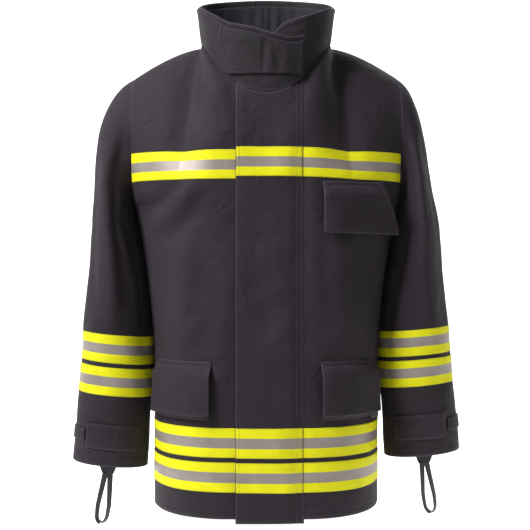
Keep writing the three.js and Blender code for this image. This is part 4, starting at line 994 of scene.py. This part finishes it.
def collar_grid(turns, laps, rises, lifts):
    """One column for each turn, lifted row by row or spot by spot."""
    lifts = np.broadcast_to(lifts, (len(rises), len(turns)))
    columns = [collar_spot(turns[k], rises, bool(laps[k]), lifts[:, k]) for k in range(len(turns))]
    return np.stack(columns, 1)


turns, laps = collar_turns(240)
foot_rises = [0.0, 0.02, 0.035, 0.05, 0.065, 0.085, 0.1, 0.115, 0.135]
rim_rises = [0.88, 0.9, 0.915, 0.93, 0.95, 0.97, 0.985, 1.0]
rise_out = np.concatenate([foot_rises, np.linspace(0.16, 0.86, 20), rim_rises])
groove = -0.6 * np.exp(-(((rise_out - 0.905) / 0.012) ** 2)) + 0.35 * smooth(rise_out, 0.91, 0.95)
for seam_rise in (0.05, 0.1):
    groove = groove - 0.8 * np.exp(-(((rise_out - seam_rise) / 0.012) ** 2))
plump = 0.7 * np.sin(np.clip(rise_out / 0.9, 0, 1) * math.pi)
outer = collar_grid(turns, laps, rise_out, (groove + plump)[:, None])
inner = collar_grid(turns, laps, rise_out, (-COLLAR_THICK - groove * 0.6)[:, None])
# The band wears the darker collar twill, which is painted shade.
collar = cloth_piece("collar_band", outer, COLLAR_THICK, collar_twill_painted_shade, roll=0.28, inner=inner)
ride_as(collar, "coat", "shell_fabric", "collar")

lining_turns, lining_laps = collar_turns(300)
lining_turns, lining_laps = lining_turns[15:276], lining_laps[15:276]
rise_in = np.linspace(0.03, 0.88, 26)
wrinkle = np.sin(lining_turns / 3.1) * np.sin(lining_turns / 7.3 + 1.0) + 0.6 * np.sin(lining_turns / 1.9)
depth = -COLLAR_THICK - 0.7 - 1.5 * np.clip(wrinkle + 0.5, 0, 2) * np.sin(rise_in * math.pi)[:, None]
collar_facing = woven("brushed_facing_charcoal", "#27242b", "#3f3b45", 0.0011, 0.0001, 0.8, 0.1)
lining_grid = collar_grid(lining_turns, lining_laps, rise_in, depth)
cloth("collar_lining_cloth", lining_grid, 0.9, collar_facing, "coat", "collar_lining", "collar_band",
      "liner_fabric", "stretched")

collar_seams = []
for rise, lift in ((0.905, -0.35), (0.05, -0.35), (0.1, -0.2)):
    for lap in (False, True):
        collar_seams.append(collar_spot(turns[laps == lap], rise, lap, lift))
collar_seams.append(collar_spot(28.0, np.linspace(0.04, 0.96, 40), True, 0.9))
sew("collar_topstitch", collar_seams, "coat")

# ---- Throat tab: a pointed tab over the lap, sewn down at the lap's end ----
# Double twill with a rectangle of hook tape sewn behind it, which grips the loop patch on the collar.
TAB_TIP_X = -72.5
TAB_SEWN_X = 57.0
TAB_POINT = 9.5
TAB_LOW_Z = -69.0
TAB_HEAD_GAP = 9.0


def turn_at(x):
    return np.degrees(np.arcsin(np.clip(x / 121.5, -1, 1)))


def tab_spot(u, v, lift):
    u, v = np.broadcast_arrays(np.asarray(u, float), np.asarray(v, float))
    x = mix(TAB_TIP_X, TAB_SEWN_X, u) - TAB_POINT * (1.0 - np.abs(2 * v - 1.0)) * (1.0 - smooth(u, 0, 0.12))
    crease = -2.4 * np.exp(-(((x + 6.0 - 5.0 * v) / 3.0) ** 2))
    crease += 1.6 * np.exp(-(((x - 6.0 - 9 * v) / 6.0) ** 2))
    crease += -2.0 * np.exp(-(((x - 20.0 + 9 * v) / 4.5) ** 2))
    crease += 1.3 * np.exp(-(((x - 36.0 + 6 * v) / 7.0) ** 2))
    turn = turn_at(x)
    seam_z = NECK_FRONT_Z * np.cos(np.radians(turn)) ** 2 + 0.6
    tall = collar_top(turn, True) - seam_z
    foot = np.maximum((TAB_LOW_Z - seam_z) / tall, 0.05)
    rise = mix(foot, 1.0 - TAB_HEAD_GAP / tall, v)
    return collar_spot(turn, rise, True, lift + crease * np.sin(np.clip(v, 0, 1) * math.pi) ** 0.5)


TAB_LONG, TAB_TALL = 130.0, 78.0
tab_u = close_rows(0.0, TAB_LONG, 3.4) / TAB_LONG
tab_v = close_rows(0.0, TAB_TALL, 3.4) / TAB_TALL
tab_edge = np.minimum((tab_u * TAB_LONG)[None, :], np.minimum(tab_v, 1 - tab_v)[:, None] * TAB_TALL)
tab_grid = tab_spot(tab_u[None, :], tab_v[:, None], 4.3 + edge_dip(tab_edge, 4.5, 0.4))
tab_bend = ("coat", "throat_tab", (0.058, -0.14, -0.02), (0.044, -0.14, -0.02))
# The tab wears the darker collar twill, which is painted shade.
cloth("throat_tab_cloth", tab_grid, 2.0, collar_twill_painted_shade, tab_bend, "throat_tab", "collar_band")
tab_seams = [tab_spot(np.linspace(0.045, 0.98, 60), v, 4.1) for v in (0.06, 0.94)]
tab_seams.append(tab_spot(0.045, np.linspace(0.06, 0.94, 30), 4.1))
tab_seams += [tab_spot(u, np.linspace(0.12, 0.88, 30), 4.2) for u in (0.085, 0.47)]
tab_seams += [tab_spot(np.linspace(0.085, 0.47, 30), v, 4.2) for v in (0.12, 0.88)]
tab_seams.append(tab_spot(0.975, np.linspace(0.1, 0.9, 24), 4.4))
sew("throat_tab_topstitch", tab_seams, tab_bend)
patch_u, patch_v = np.linspace(0.095, 0.46, 14)[None, :], np.linspace(0.13, 0.87, 16)[:, None]
hook_patch = cloth_piece("throat_hook_pile", tab_spot(patch_u, patch_v, 2.1), 0.6, hook_pile)
ride_as(hook_patch, "throat_tab", "hook_and_loop", "throat_hook_patch")
loop_patch = cloth_piece("collar_loop_pile", tab_spot(patch_u, patch_v, 1.4), 0.6, loop_pile)
ride_as(loop_patch, "coat", "hook_and_loop", "collar_loop_patch")

# ---- Hanging loop: a strap of folded twill at the back of the collar ----
# It is sewn flat at both ends and bows out a finger's width for a coat hook.
LOOP_REACH = 38.0
LOOP_STRAP = 12.0
along = np.linspace(-1.0, 1.0, 41)[None, :]
across = np.array([0.0, 1.2, 3.0, 6.0, 9.0, 10.8, 12.0])[:, None] - LOOP_STRAP / 2
loop_x = -LOOP_REACH * np.sin(along * math.pi / 2) + 0 * across
loop_z = 46.0 + across + 0 * along
wall = collar_spot(180.0 - turn_at(np.abs(loop_x)), (loop_z - 12.0) / 99.0, False, 0.0)
bow = 9.0 * np.sqrt(np.maximum(1.0 - (loop_x / LOOP_REACH) ** 2, 0.0)) + 2.6
strap_grid = stack(loop_x, wall[..., 1] + bow, loop_z)
strap = cloth_piece("hanging_loop_strap", strap_grid, 1.9, navy_twill)
ride_as(strap, "coat", "shell_fabric", "hanging_loop")

# ---- Reflective tape: lime, silver, lime, 50 mm wide ----
# Fluorescent woven lime with a strip of glass-bead silver down its middle, sewn along both edges.
# Each band on the body is cut in four lengths; the sleeves have two rings each, joined at the sleeve seam.
TAPE_HIGH = 50.0
TAPE_LIFT = 0.75
TAPE_THICK = 0.5

# Heights up the tape in metres where the silver starts and ends.
SILVER_FROM, SILVER_TO = 0.0160, 0.0335
# The weave of the lime and the cells of the silver are 1 mm apart, coarse enough to show.
tape_finish, tree, shader, where = new_material("lime_and_silver_reflective_tape")
up = add_node(tree, "ShaderNodeSeparateXYZ", {"Vector": where["UV"]}).outputs["Y"]
above, below = maths(tree, "GREATER_THAN", up, SILVER_FROM), maths(tree, "LESS_THAN", up, SILVER_TO)
silver = maths(tree, "MULTIPLY", above, below)
cloud = noise(tree, where["Object"], 26.0, 4.0)
lime_dye = dyed(tree, ranged(tree, cloud, 0.0, 1.0, 0.3, 0.7), linear("#e0dc08"), linear("#f0ec0c"))
silver_dye = dyed(tree, cloud, linear("#8a807a"), linear("#aea59f"))
weave = ribbed(tree, where["UV"], 0.0012, "DIAGONAL", Distortion=0.4)
beads = cells(tree, where["Object"], 900.0)
height = add_node(tree, "ShaderNodeMix", {0: silver, 2: weave, 3: beads}, data_type="FLOAT").outputs[0]
fleck = noise(tree, where["Object"], 700.0, 2.0)
plug(tree, shader, {
    "Base Color": dyed(tree, silver, lime_dye, silver_dye), "Specular IOR Level": 0.3,
    "Metallic": maths(tree, "MULTIPLY", silver, 0.35), "Normal": bumped(tree, height, 0.5, 0.0002),
    "Roughness": maths(tree, "MULTIPLY_ADD", fleck, 0.16, ranged(tree, silver, 0.62, 0.4)),
})


def tape_up(top):
    """Heights of the tape's rows, with its lime strips a hair thicker than the silver."""
    rows = [0, 1.0, 4, 8, 12, 15.4, 16.6, 20, 25, 30, 32.9, 34.1, 38, 42, 46, 49.0, 50]
    return top - TAPE_HIGH + np.array(rows)


TAPE_RELIEF = np.array([-0.2, 0.1, 0.1, 0.1, 0.1, 0.1, 0, 0, 0, 0, 0, 0.1, 0.1, 0.1, 0.1, 0.1, -0.2])
BANDS = (("chest_tape", -199.0), ("hem_tape_upper", -672.0), ("hem_tape_lower", -730.0))


def lay_tape(band, word, grid, body, under, seams=(), wrap=False):
    """Lays one length of tape and sews it along both edges and along any other seams."""
    cloth(f"{band}_strip_{word}", grid, TAPE_THICK, tape_finish, body, f"{band}_{word}", under,
          "reflective_tape", "laid", wrap=wrap, roll=0.1)
    edges = raised_rows(grid, (1, -2), 0.15)
    if wrap:
        edges = [np.concatenate([grid[k], grid[k, :1]]) for k in (1, -2)]
    sew(f"{band}_stitches_{word}", edges + list(seams), body, "reflective_tape", thread_lime, 0.0006)


RAISED = 4.0
tape_relief = TAPE_LIFT + TAPE_RELIEF[:, None]
for band, top in BANDS:
    heights = tape_up(top)[:, None]
    at_chest = band == "chest_tape"
    # At the chest the left length starts level with the flap's, and drops to the others by the arm.
    for word, side in SIDES:
        start = (FLAP_SEWN_X - 6.5 if side > 0 else 20.0) / FRONT_FLAT * FLAT_SHARE
        shares = np.linspace(start, 0.982, 72)[None, :]
        z = heights + (RAISED * smooth(-shares, -0.62, -start) if at_chest and side > 0 else 0 * shares)
        grid = skin(True, side, shares, height_t(True, shares, z), tape_relief)
        lay_tape(band, word, outward(grid, side), "coat", f"shell_front_{word}")
    shares = np.linspace(-0.975, 0.975, 121)[None, :]
    wide, sides = np.abs(shares), np.where(shares < 0, 1.0, -1.0)
    grid = skin(False, sides, wide, height_t(False, wide, heights), tape_relief)
    lay_tape(band, "back", grid, "coat", "shell_back")

    heights = heights + (RAISED if at_chest else 0.0)
    x = [[FLAP_FREE_X + 0.6, FLAP_FREE_X + 2.0], np.linspace(-46, 44, 24), [47, 50, 53, 56, 59, 62.4]]
    x = np.concatenate(x)[None, :]
    grid = flap_spot(x, heights, tape_relief + edge_dip(x - FLAP_FREE_X) * 0.8)
    z = line_between(heights[0, 0] + 1.0, heights[-1, 0] - 1.0)
    seams = [flap_spot(seam, z, TAPE_LIFT + 0.1) for seam in FLAP_SEAMS_X]
    lay_tape(band, "flap", grid, flap_bend, "storm_flap_cloth", seams)

for word, side in SIDES:
    for band, top in (("upper", -520.0), ("lower", -578.0)):
        grid = tube_grid(side, sleeve_t(tape_up(top)), 100, 0.0)
        grid = grid + grid_normals(grid, True) * tape_relief[..., None]
        z = np.linspace(top - TAPE_HIGH + 1, top - 1, 26)
        seams = [sleeve_skin(side, s * SLEEVE_SEAM, sleeve_t(z), TAPE_LIFT + 0.3) for s in (1, -1)]
        lay_tape(f"sleeve_tape_{band}", word, grid, f"sleeve_{word}", f"shell_sleeve_{word}", seams, True)

# ---- Pockets: two bellows pockets at the hips and one flat pocket on the wearer's left chest ----
# Each is a bag of twill sewn on at its sides and foot, with a stiffened flap over its open top.
# The flaps are double cloth, turned and stitched round the edge, and bend where they are sewn on.


def pouch_grid(x0, x1, z0, z1, deep, side):
    turned = np.array([0, 0.6, 2.0, 4.5, 8.0])
    xs = np.concatenate([x0 + turned, np.linspace(x0 + 13, x1 - 13, 16), x1 - turned[::-1]])
    x, z = np.meshgrid(xs, np.concatenate([z0 + turned, np.linspace(z0 + 13, z1, 16)]))
    in_side = np.minimum(np.minimum(x - x0, x1 - x), z - z0)
    puckers = 0.8 * np.sin(x / 17.0) * np.sin(z / 21.0) * smooth(in_side, 4, 14)
    stand = deep * smooth(in_side, -1.0, 9.0) + puckers
    gather = 1.0 - 0.35 * smooth(z, z1 - 30.0, z1)
    return outward(front_skin(side * x, z, 1.4 + stand * gather), side)


def swing_out(x, slant):
    """A slanted flap's outer end is too stiff to follow the ribs round, and stands out straighter."""
    far = np.clip((x - 160.0) / 46.0, 0.0, 1.3) ** 2 * min(slant, 1.0)
    return stack(9.0 * far, -5.0 * far, 0.0)


def flap_face(x0, x1, z0, z1, stand, side, slant, x, z, lift):
    """A spot on a pocket flap: sewn flat at its top edge and standing off over the pouch."""
    x = x - slant * smooth(z, z0, z1) * (x - x0) / (x1 - x0)
    sag = 1.2 * np.sin((x - x0) / 16.0 + 0.6) * smooth(z1 - z, 8.0, 50.0)
    bulge = stand * (0.16 + 0.84 * smooth(z1 - z, 0.0, 26.0)) + sag
    return front_skin(side * x, z, bulge + lift) + swing_out(x, slant)


FLAP_MARGIN = 5.0
LOWER_POCKET = ((98, 186, -660, -570, 10.0), (94, 188, -652, -561, 15.5), 0.0)
CHEST_POCKET = ((103, 205, -336, -262, 8.0), (98, 211, -341, -253, 13.0), 13.0)
# Each name and side, with the pouch's x, z and depth, the flap's x, z and stand, and its outer edge's slant.
POCKETS = (
    ("lower_pocket", "_left", 1, "lower_flap_left", LOWER_POCKET),
    ("lower_pocket", "_right", -1, "lower_flap_right", LOWER_POCKET),
    ("chest_pocket", "", 1, "chest_flap", CHEST_POCKET),
)
for kind, word, side, body, (pouch, flap, slant) in POCKETS:
    name = kind + word
    under = "shell_front_left" if side > 0 else "shell_front_right"
    grid = pouch_grid(*pouch, side)
    cloth(f"{name}_bag", grid, 1.5, navy_twill, "coat", f"{kind}_pouch{word}", under)
    sew(f"{name}_bag_topstitch", raised_rows(grid, (-3,), 0.2) + raised_rows(grid, (1,), 0.3), "coat")
    x0, x1, z0, z1, _ = flap
    x, z = np.meshgrid(close_rows(x0, x1, 4.0), z0 + close_rows(0.0, z1 - z0, 4.0))
    edge = np.minimum(np.minimum(np.minimum(x - x0, x1 - x), z - z0), z1 - z)
    grid = outward(flap_face(*flap, side, slant, x, z, edge_dip(edge)), side)
    bend = ("coat", body, (side * 0.14, -0.13, (z1 - 1.0) * MM), (side * 0.14, -0.13, (z1 - 13.0) * MM))
    cloth(f"{name}_flap", grid, 2.4, navy_twill, bend, f"{kind}_flap{word}", under)
    xs = line_between(x0 + FLAP_MARGIN, x1 - FLAP_MARGIN)
    zs = line_between(z0 + FLAP_MARGIN, z1 - FLAP_MARGIN)
    seams = [(x0 + FLAP_MARGIN, zs), (x1 - FLAP_MARGIN, zs)]
    seams += [(xs, z) for z in (z0 + FLAP_MARGIN, z1 - 3.0, z1 - 9.0)]
    sew(f"{name}_flap_topstitch", [flap_face(*flap, side, slant, x, z, -0.4) for x, z in seams], bend)

x, z = np.meshgrid(np.linspace(170.0, 183.0, 7), np.linspace(-661.0, -650.0, 6))
pull_grid = front_skin(x, z, 14.0 - 0.8 * np.cos((x - 176.5) / 6.5))
pull_tab = cloth_piece("pocket_pull_tab_ribbon", pull_grid, 1.2, polyester_tape)
ride_as(pull_tab, "lower_flap_left", "webbing", "pocket_pull_tab_left")

# ---- Cuffs: a tab that closes over the cuff, and the strap it grips ----
# Double twill, stitched round the edge; the strap is sewn to the cuff round its outer side.
CUFF_TAB_LOW, CUFF_TAB_HIGH = -724.0, 43.0
CUFF_TAB_FROM, CUFF_TAB_TO = 0.385, 0.155
CUFF_GIRTH = 330.0
CUFF_STRAP_LOW, CUFF_STRAP_HIGH = -714.0, 22.0
cuff_wide = (CUFF_TAB_FROM - CUFF_TAB_TO) * CUFF_GIRTH
for word, side in SIDES:
    us = close_rows(0.0, cuff_wide, 4.0) / cuff_wide
    ups = close_rows(0.0, CUFF_TAB_HIGH, 4.0)[:, None]
    edge = np.minimum(np.minimum(us, 1 - us) * cuff_wide, np.minimum(ups, CUFF_TAB_HIGH - ups))
    lift = 3.3 + edge_dip(edge, 4.0, 0.4)
    grid = sleeve_skin(side, mix(CUFF_TAB_FROM, CUFF_TAB_TO, us), sleeve_t(CUFF_TAB_LOW + ups), lift)
    tab = f"cuff_tab_{word}"
    cloth(f"cuff_tab_cloth_{word}", outward(grid, side), 2.0, navy_twill, tab, tab, f"shell_sleeve_{word}",
          held="laid")
    rim = [sleeve_skin(side, a, sleeve_t(np.linspace(-720, -685, 16)), 3.1) for a in (0.37, 0.17)]
    rim += [sleeve_skin(side, np.linspace(0.37, 0.17, 30), sleeve_t(z), 3.1) for z in (-720.0, -685.0)]
    sew(f"cuff_tab_topstitch_{word}", rim, tab)
    ups = np.array([0.0, 1.2, 2.4, 5.0, 8.0, 11.0, 14.0, 17.0, 19.6, 20.8, 22.0])[:, None] + CUFF_STRAP_LOW
    edge = np.minimum(ups - CUFF_STRAP_LOW, CUFF_STRAP_LOW + CUFF_STRAP_HIGH - ups)
    lift = 2.6 + edge_dip(edge, 3.0, 0.3)
    grid = outward(sleeve_skin(side, np.linspace(0.14, -0.2, 40), sleeve_t(ups), lift), side)
    cloth(f"cuff_strap_cloth_{word}", grid, 1.9, navy_twill, f"sleeve_{word}", f"cuff_strap_{word}",
          f"shell_sleeve_{word}", held="laid")
    sew(f"cuff_strap_topstitch_{word}", raised_rows(grid, (2, -3), 0.3), f"sleeve_{word}")

# ---- Wristlets and gussets: ribbed knit inside the cuffs ----
# A knitted tube sewn to the sleeve's liner keeps water out. A small knitted gusset hangs from it in front.
# The thumb loop is 9 mm flat elastic, sewn flat to the gusset and turning edge-on as it hangs.
rib_knit = narrow_cloth("aramid_rib_knit", "#28262d", "#4b4852", (0.0016, 1.2), (380.0, 5.0), (0.75, 0.95),
                        (0.8, 0.0007), 0.35)
elastic = webbing("woven_elastic_black", "#242228", "#48454f", 0.0016)
RIBS = 64
LOOP_AT = [0, 0.25, 0.6, 0.82, 0.94, 1.0]
LOOP_WIDE = [4.4, 7.0, 10.6, 9.8, 6.0, 0.0]
LOOP_DOWN = [0.0, -24.0, -58.0, -79.0, -87.0, -89.6]
LOOP_TURN = 0.14


def eased(values):
    """Rounds off the corners of a run of numbers."""
    window = np.hanning(9) / np.hanning(9).sum()
    ends = np.full(4, values[0]), np.full(4, values[-1])
    return np.convolve(np.concatenate([ends[0], values, ends[1]]), window, "valid")


for word, side in SIDES:
    z = np.concatenate([np.linspace(CUFF_Z + 3.0, CUFF_Z + 8.0, 4), np.linspace(CUFF_Z + 12.0, -690.0, 12)])
    around = np.arange(RIBS * 6) / (RIBS * 6)
    depth = -16.8 - LINER_THICK / 2 + 0.7 * np.cos(around * RIBS * 2 * math.pi)
    grid = sleeve_skin(side, -around if side > 0 else around, sleeve_t(z)[:, None], depth)
    cloth(f"wristlet_knit_{word}", grid, 2.2, rib_knit, f"sleeve_{word}", f"wristlet_{word}",
          f"lining_sleeve_{word}", "knit", "stretched", wrap=True)
    low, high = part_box(f"thumb_gusset_{word}")
    middle_x, front_y = (low.x + high.x) / 2 / MM, low.y / MM
    gusset_tip, gusset_top = low.z / MM - 1.0, high.z / MM
    drop = np.linspace(0.0, 1.0, 24)[:, None]
    across = np.linspace(-1.0, 1.0, 61)[None, :]
    gx = middle_x + across * mix(8.5, 20.0, drop**0.8)
    gz = mix(gusset_tip, gusset_top, drop) - 1.5 * (1 - np.abs(across)) * (1 - drop)
    gy = front_y + 0.6 - 0.45 * np.cos(across * 9 * math.pi) + 1.6 * across**2
    cloth(f"thumb_gusset_knit_{word}", stack(gx, gy, gz), 2.2, rib_knit, f"sleeve_{word}",
          f"thumb_gusset_{word}", f"wristlet_knit_{word}", "knit",
          inner=stack(gx, front_y + 2.9 + 1.6 * across**2, gz))

    steps = np.linspace(0.0, 1.0, 97)
    hung = 1 - np.abs(2 * steps - 1)
    width_at = np.interp(hung, LOOP_AT, LOOP_WIDE)
    x_in = eased(np.where(steps < 0.5, -width_at, width_at))
    z_in = eased(np.interp(hung, LOOP_AT, LOOP_DOWN))
    lean = side * LOOP_TURN
    loop_z = gusset_tip + 4.0 + z_in * math.cos(lean) * 1.04
    path = stack(middle_x + x_in - z_in * math.sin(lean), front_y + 1.5, loop_z)
    forward = np.array([0.0, -1.0, 0.0])
    facing = unit(np.cross(unit(np.gradient(path, axis=0)), forward))
    twist = np.radians(np.interp(hung, [0, 0.2, 0.7, 1.0], [76, 62, 42, 28]))
    twist = np.where(steps < 0.5, twist, -twist)[:, None]
    flat_way = forward * np.cos(twist) + facing * np.sin(twist)
    strips = np.stack([path + flat_way * w for w in (-4.5, -3.6, -1.8, 0.0, 1.8, 3.6, 4.5)], 0)
    strap = cloth_piece(f"thumb_loop_elastic_{word}", strips, 1.5, elastic)
    ride_as(strap, f"thumb_loop_{word}", "webbing", f"thumb_loop_{word}")
